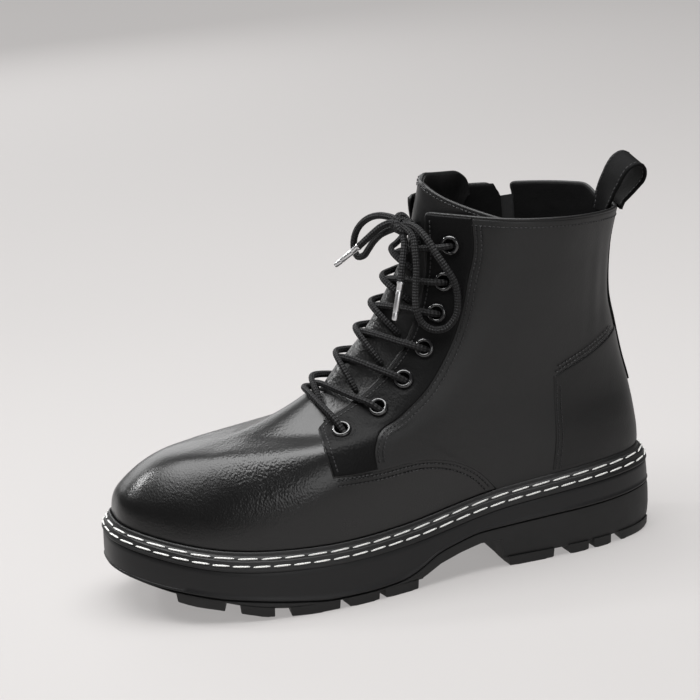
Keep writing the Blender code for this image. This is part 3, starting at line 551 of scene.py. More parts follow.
cloth = Finish("insole_cloth", (0.020, 0.020, 0.021), 0.92)
weave = cloth.threads("DIAGONAL", 420.0, 0.6, 1.0) * cloth.threads("Y", 420.0, 0.6, 1.0)
cloth.wear({"Normal": cloth.bump(weave, 0.0002, 0.6),
            "Base Color": cloth.tint(weave, (0.012, 0.012, 0.013), (0.030, 0.030, 0.032))})

INSOLE_EDGE = -WALL - 0.9


def insole_low(x):
    return feather(x) - WELT_HIGH


def insole_high(x):
    return insole_low(x) + INSOLE_THICK


insole_rows = [
    sole_row(0.0, insole_low, 0.0), sole_row(INSOLE_EDGE, insole_low, 0.6), sole_row(INSOLE_EDGE, insole_low),
    sole_row(INSOLE_EDGE, lambda x: insole_high(x) - 0.8), sole_row(INSOLE_EDGE - 0.5, insole_high),
    *(sole_row(INSOLE_EDGE, insole_high, share) for share in (0.9, 0.6, 0.3, 0.0)),
]
insole = joined("insole_board", [insole_rows], cloth.material)
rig.replaces(insole, "insole")
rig.slot(insole, "insole_cloth")

# ------------------------------------------------------------ lining
# Thin black lining leather sewn inside the upper. It is cut away at the throat and at the zip, and
# punched for the eyelets, together with the leather outside it.
THROAT_HALVES = ((0.565, 19.5), (0.72, 19.0), (0.86, 15.5), (1.0, 12.0), (1.12, 11.0))
THROAT_FOOT = 0.565
EYELETS = (
    (178.5, 81.5), (158.0, 90.0), (142.6, 102.1), (130.0, 116.5),
    (121.5, 133.4), (116.3, 149.0), (112.0, 167.5),
)
EYELET_HOLE = 3.35
ZIP_FOOT, ZIP_TOP = (60.5, 66.0), (56.0, 172.0)
ZIP_SLOT = (                           # height, and how far the slot reaches back and forward
    (63.0, 3.0, 3.0), *((z, 3.6, 3.6) for z in (66.0, 90.0, 115.0, 140.0, 171.0)), (189.0, 3.2, 13.0),
)
LINING_OUT = -0.9


def side_place(x, z):
    """Level and angle of the outer side's skin at x and z in the side view."""
    x, z = np.broadcast_arrays(np.asarray(x, float), np.asarray(z, float))
    low, high = np.zeros_like(x), np.full_like(x, LAST[-1].level)
    for _ in range(20):
        level = (low + high) / 2.0
        ring = ring_at(level)
        share = np.clip((x - ring.back_x) / (ring.front_x - ring.back_x), 0.0, 1.0)
        below = ring_height(ring, share, x) < z
        low, high = np.where(below, level, low), np.where(below, high, level)
    along = 2.0 * share - 1.0
    roundness = np.where(along > 0, ring.front_round, ring.back_round)
    return level, np.arccos(np.clip(np.sign(along) * np.abs(along) ** (roundness / 2.0), -1.0, 1.0))


def front_line(station):
    """The front line's ring and unit direction at a station, which is a level."""
    ring, after = ring_at(station), ring_at(station + 0.004)
    along = np.stack([after.front_x - ring.front_x, after.front_z - ring.front_z])
    return ring, along / np.linalg.norm(along, axis=0)


def throat_half(station):
    """Half the gap between the facings, which come closer together towards the collar."""
    return np.interp(station, *zip(*THROAT_HALVES))


def throat_place(station, across):
    """Level and angle of the skin beside the front line, square to it at a station."""
    station, across = np.broadcast_arrays(np.asarray(station, float), np.asarray(across, float))
    ring, along = front_line(station)
    near, far = np.zeros_like(station), np.full_like(station, 70.0)
    for _ in range(16):
        depth = (near + far) / 2.0
        level, angle = side_place(ring.front_x - along[1] * depth, ring.front_z + along[0] * depth)
        point = skin(level, angle)
        narrow = point[..., 1] - swing(level, point[..., 0]) < np.abs(across)
        near, far = np.where(narrow, depth, near), np.where(narrow, far, depth)
    return level, angle * np.where(across < 0, -1.0, 1.0)


def square_to_skin(level, angle, height=0.0):
    """Frame above the skin whose Z axis points outwards."""
    turn = Vector(outward(level, angle)).to_track_quat("Z", "Y").to_matrix().to_4x4()
    return Matrix.Translation(Vector(metres(over_skin(level, angle, height)))) @ turn


def zip_x(z):
    """Place of the zip's middle at a height, in the side view."""
    return ZIP_FOOT[0] + (ZIP_TOP[0] - ZIP_FOOT[0]) * (z - ZIP_FOOT[1]) / (ZIP_TOP[1] - ZIP_FOOT[1])


def inner_side(x, z, height):
    """Point above the skin of the inner side at a place in the side view."""
    level, angle = side_place(x, z)
    return over_skin(level, -angle, height)


def eyelet_places():
    """Side, number, and level and angle on the skin of each eyelet."""
    for side in (1.0, -1.0):
        for number, (x, z) in enumerate(EYELETS):
            level, angle = side_place(x, z)
            yield side, number + 1, level, angle * side


def cutter_of(sections):
    """Closed block through four-cornered sections."""
    work = welded([[(*section, section[0]) for section in sections]])
    bmesh.ops.holes_fill(work, edges=work.edges, sides=0)
    bmesh.ops.recalc_face_normals(work, faces=work.faces)
    return work


def cut(made, cutters):
    """Cuts a piece with closed bmeshes, and keeps the result as its mesh."""
    for work in cutters:
        mesh = mesh_of("cutter", work)
        block = link("cutter", mesh)
        boolean = made.modifiers.new("cut", "BOOLEAN")
        boolean.operation, boolean.solver, boolean.object = "DIFFERENCE", "EXACT", block
        bpy.context.view_layer.update()
        result = bpy.data.meshes.new_from_object(made.evaluated_get(bpy.context.evaluated_depsgraph_get()))
        made.modifiers.clear()
        old, made.data = made.data, result
        bpy.data.meshes.remove(old)
        bpy.data.objects.remove(block)
        bpy.data.meshes.remove(mesh)


def throat_block():
    """Block as wide as the throat that follows the front line past the collar."""
    for station in np.linspace(THROAT_FOOT, 1.10, 12):
        ring, along = front_line(station)
        middle = float(swing(station, ring.front_x))
        half = throat_half(station)
        yield [(ring.front_x + along[1] * out, middle + side * half, ring.front_z - along[0] * out)
               for side, out in ((-1, 9.0), (1, 9.0), (1, -26.0), (-1, -26.0))]


def zip_block():
    """Block through the wall of the inner side along the zip."""
    for z, back, front in ZIP_SLOT:
        yield [inner_side(zip_x(z) + side, z, out)
               for side, out in ((-back, 5.0), (front, 5.0), (front, -6.0), (-back, -6.0))]


soft_black = Finish("lining_leather", (0.0020, 0.0020, 0.0021), 0.66, IOR=1.20)
soft_black.wear({
    "Normal": soft_black.bump(soft_black.cells(1500.0), 0.00012, 0.5,
                              soft_black.bump(soft_black.noise(90.0), 0.0012, 0.35)),
    "Roughness": soft_black.spread(soft_black.noise(260.0), 0.52, 0.72)})

LINING_COLUMNS = 144
lining_levels = (0.0, *np.linspace(0.02, 0.97, 46), 0.99)
turns = np.append(around(0.5, LINING_COLUMNS), 2.0 * math.pi)
lining_rows = [
    *(over_skin(level, turns, LINING_OUT) for level in lining_levels),
    over_skin(0.997, turns, LINING_OUT - 0.2), over_skin(1.0, turns, LINING_OUT - 0.55),
    over_skin(0.997, turns, -WALL + 0.15),
    *(over_skin(level, turns, -WALL) for level in lining_levels[::-1]),
]
lining = joined("lining", [lining_rows + lining_rows[:1]], soft_black.material)
punch = bmesh.new()
for _, _, level, angle in eyelet_places():
    bmesh.ops.create_cone(punch, cap_ends=True, segments=24, radius1=EYELET_HOLE * MM,
                          radius2=EYELET_HOLE * MM, depth=16.0 * MM, matrix=square_to_skin(level, angle))
cut(lining, [cutter_of(throat_block()), cutter_of(zip_block()), punch])
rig.replaces(lining, "upper")
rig.slot(lining, "leather")

# ------------------------------------------------------------ vamp
# The front of the upper: one piece of smooth coated leather drawn tight over the toe. Walking has
# left soft folds across the joint, where the coating's fine grain opens up.
BORDER = (0.0, 0.12, 0.45, 0.9, 1.6)   # distance in from a panel's cut edge
BORDER_SHARE = (0.0, 0.62, 0.87, 0.97, 1.0)
LINE_STEP = 2.0                        # spacing of the points on a line drawn in the side view


def black_leather(name, dark, light, rough, grain, waves, gloss=1.5):
    """Coated black leather: pores, a slow wave of the hide, and a duller and lighter bloom."""
    made = Finish(name, dark, rough[0], IOR=gloss)
    flex = made.node("ShaderNodeAttribute", {"attribute_name": "flex"}, output="Fac")
    bloom = made.noise(38.0, 4.0)
    fine = made.noise(2600.0, 2.0)
    pores = made.cells(1150.0, "SMOOTH_F1")
    stretched = made.node("ShaderNodeMapping", None, {
        "Vector": made.place, "Rotation": (0.0, 0.6, 0.2), "Scale": (1.25, 0.8, 0.8)})
    pebble = made.cells(950.0, "SMOOTH_F1", stretched)
    slow = made.bump(made.noise(55.0, 2.0), waves, 0.5)
    opened = made.bump(pebble * flex, 0.00032, 0.7, slow)
    made.wear({
        "Base Color": made.tint(bloom, dark, light),
        "Roughness": made.spread(bloom + fine * 0.35, rough[0], rough[1]),
        "Normal": made.bump(pores + fine * 0.5, grain, 0.5, opened)})
    return made.material


def edge_steps(length, count, start, end):
    """Shares of a length, evenly spaced but closer together beside a cut edge."""
    inset = np.array(BORDER) / length
    first = inset if start else inset[:1]
    last = (1.0 - inset[::-1]) if end else np.array([1.0])
    return np.concatenate([first[:-1], np.linspace(first[-1], last[0], count), last[1:]])


def edge_run(edge):
    """Length over the skin along an edge, which is a list of levels and angles."""
    return run_along(skin(*np.transpose(edge)))


def along_edge(edge, shares):
    """The edge's level and angle at shares of its length."""
    run = edge_run(edge)
    return np.stack([np.interp(shares * run[-1], run, values) for values in np.transpose(edge)], axis=-1)


def patch(low, high, front, back, across, up):
    """Levels and angles of a four-edged panel."""
    low, high = along_edge(low, across), along_edge(high, across)
    front, back = along_edge(front, up)[:, None], along_edge(back, up)[:, None]
    u, v = across[None, :, None], up[:, None, None]
    return ((1 - v) * low + v * high + (1 - u) * front + u * back - (1 - u) * (1 - v) * low[0]
            - u * (1 - v) * low[-1] - (1 - u) * v * high[0] - u * v * high[-1])


def to_edge(points, axis, free_start, free_end):
    """How far each point of a panel is from its cut edges along one way of the grid."""
    steps = np.linalg.norm(np.diff(points, axis=axis), axis=-1)
    run = np.concatenate([np.zeros_like(np.take(steps, [0], axis)), np.cumsum(steps, axis=axis)], axis=axis)
    rest = np.take(run, [-1], axis) - run
    far = np.full(run.shape, 99.0)
    return np.minimum(run if free_start else far, rest if free_end else far)


def panel(name, edges, free, rise, foot, count, finish, side=1.0, relief=None):
    """Leather panel over the skin. free says which of its low, high, front and back edges are cut."""
    wide, high = (sum(edge_run(edge)[-1] for edge in pair) / 2 for pair in (edges[:2], edges[2:]))
    level, angle = np.moveaxis(patch(*edges, edge_steps(wide, count[0], *free[2:]),
                                     edge_steps(high, count[1], *free[:2])), -1, 0)
    flat = skin(level, angle)
    inside = np.minimum(to_edge(flat, 1, *free[2:]), to_edge(flat, 0, *free[:2]))
    height = foot + (rise - foot) * np.interp(inside, BORDER, BORDER_SHARE)
    if relief is not None:
        height = height + relief(flat)
    rows = over_skin(level, angle * side, height)
    return joined(name, [rows[:, ::-1] if side < 0 else rows], finish, recalculate=False)


def through(points, count):
    """Evenly shared points on a smooth curve through a short route."""
    points = np.asarray(points, float)
    reach = run_along(points)
    return smooth(reach, points, np.linspace(0.0, reach[-1], count))


def side_line(points):
    """Level and angle along a smooth line drawn in the side view."""
    line = through(points, max(3, int(run_along(np.asarray(points, float))[-1] / LINE_STEP)))
    return np.stack(side_place(*line.T), axis=-1)


def trough(points, route, wide, deep):
    """Soft valley along a route on the surface, fading out towards the route's ends."""
    route = np.asarray(route, float)
    start, step = route[:-1], np.diff(route, axis=0)
    long, before = np.linalg.norm(step, axis=1), run_along(route)
    flat = points.reshape(-1, 3)
    best, share = np.full(len(flat), 1e9), np.zeros(len(flat))
    for a, d, size, run in zip(start, step, long, before):
        t = np.clip((flat - a) @ d / size**2, 0.0, 1.0)
        away = np.linalg.norm(flat - a - t[:, None] * d, axis=1)
        nearer = away < best
        best, share = np.where(nearer, away, best), np.where(nearer, (run + t * size) / before[-1], share)
    fade = np.clip(np.sin(math.pi * share), 0.0, 1.0) ** 0.6
    return (-deep * fade * np.exp(-(best / wide) ** 2)).reshape(points.shape[:-1])


FOOT_LEVEL = 0.012                     # level of the lower edge of the panels that reach the welt
VAMP_TOP = 0.578
VAMP_BACK = 84.0                       # the vamp's side seam lies under the quarter from here on
DERBY_FOOT = ((189.5, 62.6), (165.0, 62.0), (136.0, 61.5), (121.0, 57.0), (108.0, 49.0), (97.0, 36.4))
FOLDS = (                              # ends in the side view, width and depth
    ((238, 46), (223, 80), 4.2, 0.10), ((225, 44), (211, 83), 3.8, 0.14), ((212, 43), (200, 86), 3.4, 0.12),
)
FOLD_MEET = 0.05                       # angle beside the middle of the vamp where a fold ends
MIRRORED = (1.0, -1.0)                 # turns levels and angles over to the other side


def over_top(low, high, side):
    """Route of a fold from the side up to the middle of the vamp."""
    (level, angle), (top_level, _) = side_place(*low), side_place(*high)
    share = np.linspace(0.0, 1.0, 14)
    return skin(level + (top_level - level) * share, (angle * (1.0 - share) + FOLD_MEET * share) * side)


def vamp_relief(points):
    """The folds across the joint, and a fine ripple between them."""
    relief = np.zeros(points.shape[:-1])
    for low, high, wide, deep in FOLDS:
        for side in (1.0, -1.0):
            relief += trough(points, over_top(low, high, side), wide, deep)
    x, z = points[..., 0], points[..., 2]
    band = np.exp(-((x - 0.22 * (z - 60) - 222.0) / 17.0) ** 2)
    ripple = (np.sin(x * 1.05 + z * 0.55 + 1.6 * np.sin(points[..., 1] * 0.19 + x * 0.07))
              * np.sin(points[..., 1] * 0.43 + z * 0.31 + 0.9 * np.sin(x * 0.37)))
    return relief + 0.022 * band * ripple


def spot(x, z, middle, reach):
    """1 at a place in the side view, fading away over its reach along x and z."""
    return np.exp(-((x - middle[0]) / reach[0]) ** 2 - ((z - middle[1]) / reach[1]) ** 2)


def set_flex(made, near):
    """How far the leather's grain is opened, from 0 to 1, for its finish: one value or one by place."""
    flat = np.empty(len(made.data.vertices) * 3, np.float32)
    made.data.vertices.foreach_get("co", flat)
    points = flat.reshape(-1, 3) / MM + MIDDLE
    layer = made.data.attributes.new("flex", "FLOAT", "POINT")
    opened = near(points) if callable(near) else np.full(len(points), near)
    layer.data.foreach_set("value", np.clip(opened, 0.0, 1.0).astype(np.float32))


def vamp_flex(points):
    """The grain is opened most across the joint."""
    x, _, z = points.T
    band = np.exp(-((x - 0.30 * (z - 60.0) - 219.0) / 20.0) ** 2) * np.clip((z - 38.0) / 20.0, 0.0, 1.0)
    return band + 0.55 * spot(x, z, (262.0, 55.0), (16.0, 9.0)) + 0.10


vamp_black = black_leather("vamp_leather", (0.0021, 0.0021, 0.0022), (0.0032, 0.0032, 0.0033),
                           (0.23, 0.33), 0.00009, 0.0004)
_, side_angle = side_place(VAMP_BACK, float(feather(VAMP_BACK)) - 4.0)
vamp_foot = np.linspace((FOOT_LEVEL, side_angle), (FOOT_LEVEL, -side_angle), 120)
under_quarter = side_line([(x - 1.5, z + 7.0) for x, z in DERBY_FOOT[::-1]])
vamp_throat = np.stack(throat_place(np.full(14, VAMP_TOP), np.linspace(23.0, 0.0, 14)), axis=-1)
vamp_top = np.vstack([under_quarter, np.linspace(under_quarter[-1], vamp_throat[0], 8)[1:-1], vamp_throat])
vamp_top = np.vstack([vamp_top, vamp_top[-2::-1] * MIRRORED])
places = patch(vamp_foot, vamp_top, (vamp_foot[0], vamp_top[0]), (vamp_foot[-1], vamp_top[-1]),
               np.linspace(0.0, 1.0, 430), np.linspace(0.0, 1.0, 130))
vamp_level, vamp_angle = places[..., 0], places[..., 1]
vamp_rows = over_skin(vamp_level, vamp_angle, vamp_relief(skin(vamp_level, vamp_angle)))
vamp = joined("vamp", [vamp_rows[:, ::-1]], vamp_black, recalculate=False)
set_flex(vamp, vamp_flex)
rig.slot(vamp, "leather")

# ------------------------------------------------------------ quarters
# The two sides of the shaft, laid over the vamp with a folded lower edge and closed down the back.
# The inner one is cut in two for the zip.
QUARTER_RISE = 0.7
QUARTER_FOOT = -1.0


def throat_edge(out=0.0, count=60):
    """Level and angle up the facings' front edge, or a distance out from it."""
    station = np.linspace(THROAT_FOOT + 0.005, 1.0, count)
    return np.stack(throat_place(station, throat_half(station) + out), axis=-1)


def eyelet_dimples(points):
    """The leather is drawn in under each eyelet's rim."""
    relief = np.zeros(points.shape[:-1])
    for side, _, level, angle in eyelet_places():
        if side > 0:
            away = np.linalg.norm(points - skin(level, angle), axis=-1)
            relief -= 3.4 * np.clip((4.5 - away) / 1.2, 0.0, 1.0)
            relief -= 0.28 * np.exp(-((away - 5.6) / 1.5) ** 2)
    return relief


def quarter_relief(points):
    """Hollow over the ankle, the swell before it, and small waves at the back."""
    x, z = points[..., 0], points[..., 2]
    ankle = -0.9 * spot(x + 0.35 * (z - 100.0), z, (128.0, 96.0), (16.0, 16.0))
    swell = 0.7 * spot(x, z, (86.0, 78.0), (22.0, 16.0))
    back = 0.16 * np.sin(x * 0.62 + 0.04 * z) * spot(x, z, (30.0, 135.0), (11.0, 30.0))
    return ankle + swell + back + eyelet_dimples(points)


front_side = side_line([(189.5, 62.6), (190.6, 75.0), (188.9, 82.6)])
throat_side = throat_edge()
collar_corner = throat_side[-1]
quarter_front = np.vstack([front_side, throat_side])
derby_low = side_line(DERBY_FOOT)
feather_low = np.linspace((FOOT_LEVEL, derby_low[-1][1]), (FOOT_LEVEL, math.pi), 61)
quarter_low = np.vstack([derby_low, feather_low[1:]])
collar_high = np.linspace(collar_corner, (1.0, math.pi), 60)
back_line = np.linspace((FOOT_LEVEL, math.pi), (1.0, math.pi), 60)


def quarter_flex(points):
    """The grain is opened most beside the lowest eyelets."""
    x, _, z = points.T
    return (0.9 * spot(x, z, (178.0, 76.0), (14.0, 12.0)) + 0.35 * spot(x, z, (150.0, 98.0), (18.0, 14.0))
            + 0.12)


quarter_black = black_leather("quarter_leather", (0.0032, 0.0032, 0.0034), (0.0050, 0.0050, 0.0052),
                              (0.40, 0.54), 0.00009, 0.0007)
quarter_outer = panel("quarter_outer", (quarter_low, collar_high, quarter_front, back_line),
                      (True, True, True, False), QUARTER_RISE, QUARTER_FOOT, (210, 130), quarter_black,
                      1.0, quarter_relief)

ZIP_EDGE = 3.9                         # half the gap between the folded leather edges beside the zip


def zip_edge(side):
    """The folded edge before (+) or behind (-) the zip, from the welt up to the collar."""
    shut, low = ZIP_FOOT[1] - 4.0, ZIP_FOOT[1]
    z = np.concatenate([np.linspace(42.0, shut, 12), np.linspace(low, 172.0, 40),
                        np.linspace(174.0, 182.0, 6)])
    half = np.interp(z, (shut, low, 171.0, 182.0), (0.15, ZIP_EDGE, ZIP_EDGE, 9.6 if side > 0 else 3.6))
    return np.stack(side_place(zip_x(z) + side * half, z), axis=-1)


def toward_zip(line, end, rear):
    """The part of a lower or upper line before the end of the zip's edge or behind it."""
    if rear:
        return np.vstack([[end], line[line[:, 1] > end[1] + 0.01]])
    return np.vstack([line[line[:, 1] < end[1] - 0.01], [end]])


def to_collar(edge, level=1.0):
    """The same edge carried on to a level at the collar."""
    return np.vstack([edge[edge[:, 0] < 0.985], [(level, edge[-1][1])]])


zip_before, zip_behind = (np.vstack([[(FOOT_LEVEL, edge[0][1])], to_collar(edge)])
                          for edge in (zip_edge(1.0), zip_edge(-1.0)))
quarter_inner = panel("quarter_inner", (
    toward_zip(quarter_low, zip_before[0], False), toward_zip(collar_high, zip_before[-1], False),
    quarter_front, zip_before), (True, True, True, True), QUARTER_RISE, QUARTER_FOOT, (180, 130),
    quarter_black, -1.0, quarter_relief)
quarter_back = panel("quarter_inner_back", (
    toward_zip(quarter_low, zip_behind[0], True), toward_zip(collar_high, zip_behind[-1], True),
    zip_behind, back_line), (False, True, True, False), QUARTER_RISE, QUARTER_FOOT, (70, 110),
    quarter_black, -1.0, quarter_relief)
for made in (quarter_outer, quarter_inner, quarter_back):
    set_flex(made, quarter_flex)
    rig.slot(made, "leather")

# ------------------------------------------------------------ eyelet facings
# A second layer of leather that carries the eyelets, from the throat back to a double seam.
FACING_RISE = 1.35
FACING_SEAM = ((102.0, 181.5), (102.6, 163.0), (106.0, 150.0), (109.6, 136.0), (113.3, 126.0),
               (122.0, 110.5), (132.0, 98.0), (148.5, 86.0), (163.2, 77.6), (165.6, 73.0), (165.6, 63.3))
FACING_TOP = 0.997
facing_back = to_collar(side_line(FACING_SEAM[::-1]), FACING_TOP)
facing_low = side_line(((188.9, 63.5), (177.0, 63.2), (165.6, 63.3)))
facing_front = np.vstack([side_line([(188.9, 63.5), (189.9, 75.0), (188.2, 82.6)]), throat_edge(0.25)])
facing_front[-1][0] = FACING_TOP
facing_high = np.linspace(facing_front[-1], facing_back[-1], 24)
facing_black = black_leather("facing_leather", (0.0014, 0.0014, 0.0015), (0.0024, 0.0024, 0.0026),
                             (0.42, 0.58), 0.00012, 0.0008, 1.24)
for name, side in (("facing_outer", 1.0), ("facing_inner", -1.0)):
    made = panel(name, (facing_low, facing_high, facing_front, facing_back), (True, True, True, True),
                 FACING_RISE, 0.35, (60, 170), facing_black, side, eyelet_dimples)
    set_flex(made, lambda points: quarter_flex(points) + 0.25)
    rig.slot(made, "leather")

# ------------------------------------------------------------ counter and backstay
# The counter patch stiffens the heel. A narrow strip covers the back seam from the collar down.
COUNTER_OUTER = ((65.2, 42.4), (62.8, 59.7), (62.4, 77.0), (62.0, 92.5))
COUNTER_INNER = ((52.0, 41.2), (51.2, 59.7), (50.6, 77.0), (50.2, 96.4))
COUNTER_TOP = ((57.0, 94.4), (40.0, 100.2), (21.0, 107.0))
counter_black = black_leather("counter_leather", (0.0030, 0.0030, 0.0032), (0.0044, 0.0044, 0.0046),
                              (0.36, 0.48), 0.00008, 0.0005, 1.43)


def counter_edges(front):
    """Low, high, front and back edges of half the counter, which meets the other half at the back."""
    side = side_line(front)
    over = [point for point in COUNTER_TOP if point[0] < front[-1][0] - 3.0]
    top = side_line((front[-1], *over))
    top = np.vstack([top, [(top[-1][0] + 0.004, math.pi)]])
    heel = (side[0][0], math.pi)
    return np.linspace(side[0], heel, 30), top, side, np.linspace(heel, top[-1], 30)


for name, side, front in (("counter_outer", 1.0, COUNTER_OUTER), ("counter_inner", -1.0, COUNTER_INNER)):
    made = panel(name, counter_edges(front), (False, True, True, False), FACING_RISE, 0.3, (70, 60),
                 counter_black, side)
    set_flex(made, 0.05)
    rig.slot(made, "leather")

STAY_HALF = 5.5
strip_black = black_leather("strip_leather", (0.0014, 0.0014, 0.0016), (0.0024, 0.0024, 0.0026),
                            (0.55, 0.70), 0.00008, 0.0004, 1.20)


def back_turn(level, across):
    """Angle of a place a distance across from the back seam."""
    ring = ring_at(level)
    return math.pi - np.sign(across) * np.arcsin((np.abs(across) / ring.heel) ** (ring.back_round / 2))


stay_across = np.concatenate([-STAY_HALF + np.array(BORDER), np.linspace(-3.4, 3.4, 9),
                              STAY_HALF - np.array(BORDER[::-1])])
stay_level, stay_across = np.meshgrid(np.linspace(0.34, 0.998, 90), stay_across, indexing="ij")
stay_inside = STAY_HALF - np.abs(stay_across)
stay_height = 0.3 + (FACING_RISE + 0.8) * np.interp(stay_inside, BORDER, BORDER_SHARE)
stay_rows = over_skin(stay_level, back_turn(stay_level, stay_across), stay_height)
backstay = joined("backstay", [stay_rows[:, ::-1]], strip_black, recalculate=False)
set_flex(backstay, 0.1)
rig.slot(backstay, "leather")

# ------------------------------------------------------------ folded edges and seams
# The collar and the throat are finished with a rolled leather edge. The panels are sewn with black
# thread in double rows, about eleven stitches to the inch, beside every edge.
ASKEW = (0.31, 0.17, 0.93)             # a direction that no cord starts along


def tube(route, radius, facets=10, flat=1.0):
    """Rows of a round cord along a route, with domed ends. flat squeezes it across its first side."""
    along = unit(np.gradient(route, axis=0))
    sides = [np.cross(along[0], ASKEW)]
    for direction in along:
        sides.append(unit(sides[-1] - direction * (sides[-1] @ direction)))
    sides = np.array(sides[1:])
    others = np.cross(along, sides)
    dome = np.linspace(0.0, math.pi / 2, 4)[::-1]
    places = np.vstack([route[0] - along[0] * radius * np.sin(dome)[:, None], route[1:-1],
                        route[-1] + along[-1] * radius * np.sin(dome[::-1])[:, None]])
    size = np.concatenate([np.cos(dome), np.ones(len(route) - 2), np.cos(dome[::-1])]) * radius
    near = np.concatenate([np.zeros(4, int), np.arange(1, len(route) - 1), np.full(4, len(route) - 1)])
    turn = np.linspace(0.0, 2.0 * math.pi, facets + 1)
    ring = (sides[near][:, None] * np.cos(turn)[:, None] * flat
            + others[near][:, None] * np.sin(turn)[:, None])
    return places[:, None] + ring * size[:, None, None]


def evenly(line, spacing):
    """The same line with points a spacing apart."""
    run = run_along(line)
    at = np.linspace(0.0, run[-1], max(2, int(round(run[-1] / spacing)) + 1))
    return np.stack([np.interp(at, run, values) for values in line.T], axis=-1)


def rounded(route, passes=2):
    """The same route with its corners eased."""
    route = route.copy()
    for _ in range(passes):
        route[1:-1] = (route[:-2] + 2.0 * route[1:-1] + route[2:]) / 4.0
    return route


ROLL = 1.0
ROLL_SUNK = 0.30
ROLL_FOOT = 0.2                        # level where the rolled edges beside the zip start
COLLAR = 0.998
collar_outer = np.linspace((COLLAR, collar_corner[1]), (COLLAR, math.pi), 110)
before_zip = np.linspace((COLLAR, collar_corner[1]), (COLLAR, zip_before[-1][1]), 60)
behind_zip = np.linspace((COLLAR, math.pi), (COLLAR, zip_behind[-1][1]), 30)
throat_up = throat_edge(-0.1)
down_before, down_behind = (edge[edge[:, 0] > ROLL_FOOT][::-1][2:] for edge in (zip_before, zip_behind))
roll_rows = []
for edge in (np.vstack([throat_up, collar_outer[2:], behind_zip[1:] * MIRRORED, down_behind * MIRRORED]),
             np.vstack([throat_up, before_zip[2:], down_before]) * MIRRORED):
    line = evenly(over_skin(edge[:, 0], edge[:, 1], -ROLL_SUNK), 1.3)
    roll_rows.append(tube(rounded(line), ROLL))
edging = joined("rolled_edges", roll_rows, counter_black)
set_flex(edging, 0.3)
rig.slot(edging, "leather")

THREAD = 0.36
PITCH = 2.3
STITCH = PITCH * 0.74
work = bmesh.new()
bmesh.ops.create_uvsphere(work, u_segments=6, v_segments=5, radius=1.0,
                          matrix=Matrix.Rotation(math.pi / 2, 4, "Y"))
for vert in work.verts:
    vert.co.x = math.copysign(abs(vert.co.x) ** 0.45, vert.co.x)
stitch = mesh_of("stitch", work)


def stitches(work, line, normals, pitch, long, thick, sink, slant=0.0):
    """Short sewn thread pieces along a line on the leather, each with its ends pulled in."""
    run = run_along(line)
    for at in np.arange(pitch / 2, run[-1] - long / 2, pitch):
        place, ahead, behind, out = (
            np.array([np.interp(where, run, values[:, k]) for k in range(3)]) for where, values in (
                (at, line), (at + long / 2, line), (at - long / 2, line), (at, normals)))
        along, up = Vector(ahead - behind).normalized(), Vector(out)
        up = (up - along * up.dot(along)).normalized()
        along = (along + up.cross(along) * slant).normalized()
        turn = Matrix((along, up.cross(along), up)).transposed().to_4x4()
        seat = Matrix.Translation(Vector(metres(place)) + up * (thick * 0.35 - sink) * MM)
        sewn = stitch.copy()
        sewn.transform(seat @ turn @ Matrix.Diagonal((long / 2 * MM, thick * MM, thick * MM, 1.0)))
        work.from_mesh(sewn)
        bpy.data.meshes.remove(sewn)


def seam(work, edge, height, inset=0.0, side=1.0, trim=(0.0, 0.0)):
    """A row of stitches beside an edge given by level and angle, moved across the surface by inset."""
    run = edge_run(edge)
    at = np.linspace(trim[0], run[-1] - trim[1], max(4, int(run[-1])))
    level, angle = np.interp(at, run, edge[:, 0]), np.interp(at, run, edge[:, 1])
    place, normal = skin(level, angle * side), outward(level, angle * side)
    along = unit(np.gradient(place, axis=0))
    place = place + np.cross(normal, along) * inset * side + normal * height
    stitches(work, place, normal, PITCH, STITCH, THREAD, 0.06)


thread_black = Finish("black_thread", (0.012, 0.012, 0.013), 0.50)
twist = thread_black.threads("DIAGONAL", 900.0, 1.0)
thread_black.wear({"Normal": thread_black.bump(twist, 0.0001, 0.6),
                   "Roughness": thread_black.spread(twist, 0.42, 0.66)})
work = bmesh.new()
for side in (1.0, -1.0):
    for inset in (1.6, 4.2):
        seam(work, facing_back[::-1], FACING_RISE, inset, side, (4.0, 2.0))
        seam(work, derby_low[:-2], QUARTER_RISE, -inset, side, (2.0, 0.0))
    seam(work, facing_front, FACING_RISE, -2.4, side, (1.5, 2.0))
    seam(work, facing_low[1:-1], FACING_RISE, -1.7, side)
for inset in (1.6, 3.9):
    for front, side in ((COUNTER_OUTER, 1.0), (COUNTER_INNER, -1.0)):
        _, top, front_edge, _ = counter_edges(front)
        seam(work, front_edge, FACING_RISE, -inset, side, (0.0, inset))
        seam(work, top[:-1], FACING_RISE, inset, side, (inset, 0.0))
seam(work, collar_outer, QUARTER_RISE, -3.8, 1.0, (3.0, 0.0))
seam(work, before_zip, QUARTER_RISE, -3.8, -1.0, (3.0, 4.0))
seam(work, behind_zip, QUARTER_RISE, 3.8, -1.0, (0.0, 4.0))
seam(work, zip_before[8:-1], QUARTER_RISE, 2.2, -1.0)
seam(work, zip_behind[8:-1], QUARTER_RISE, -2.2, -1.0)
seams = piece("black_seams", work, thread_black.material)
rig.slot(seams, "leather")

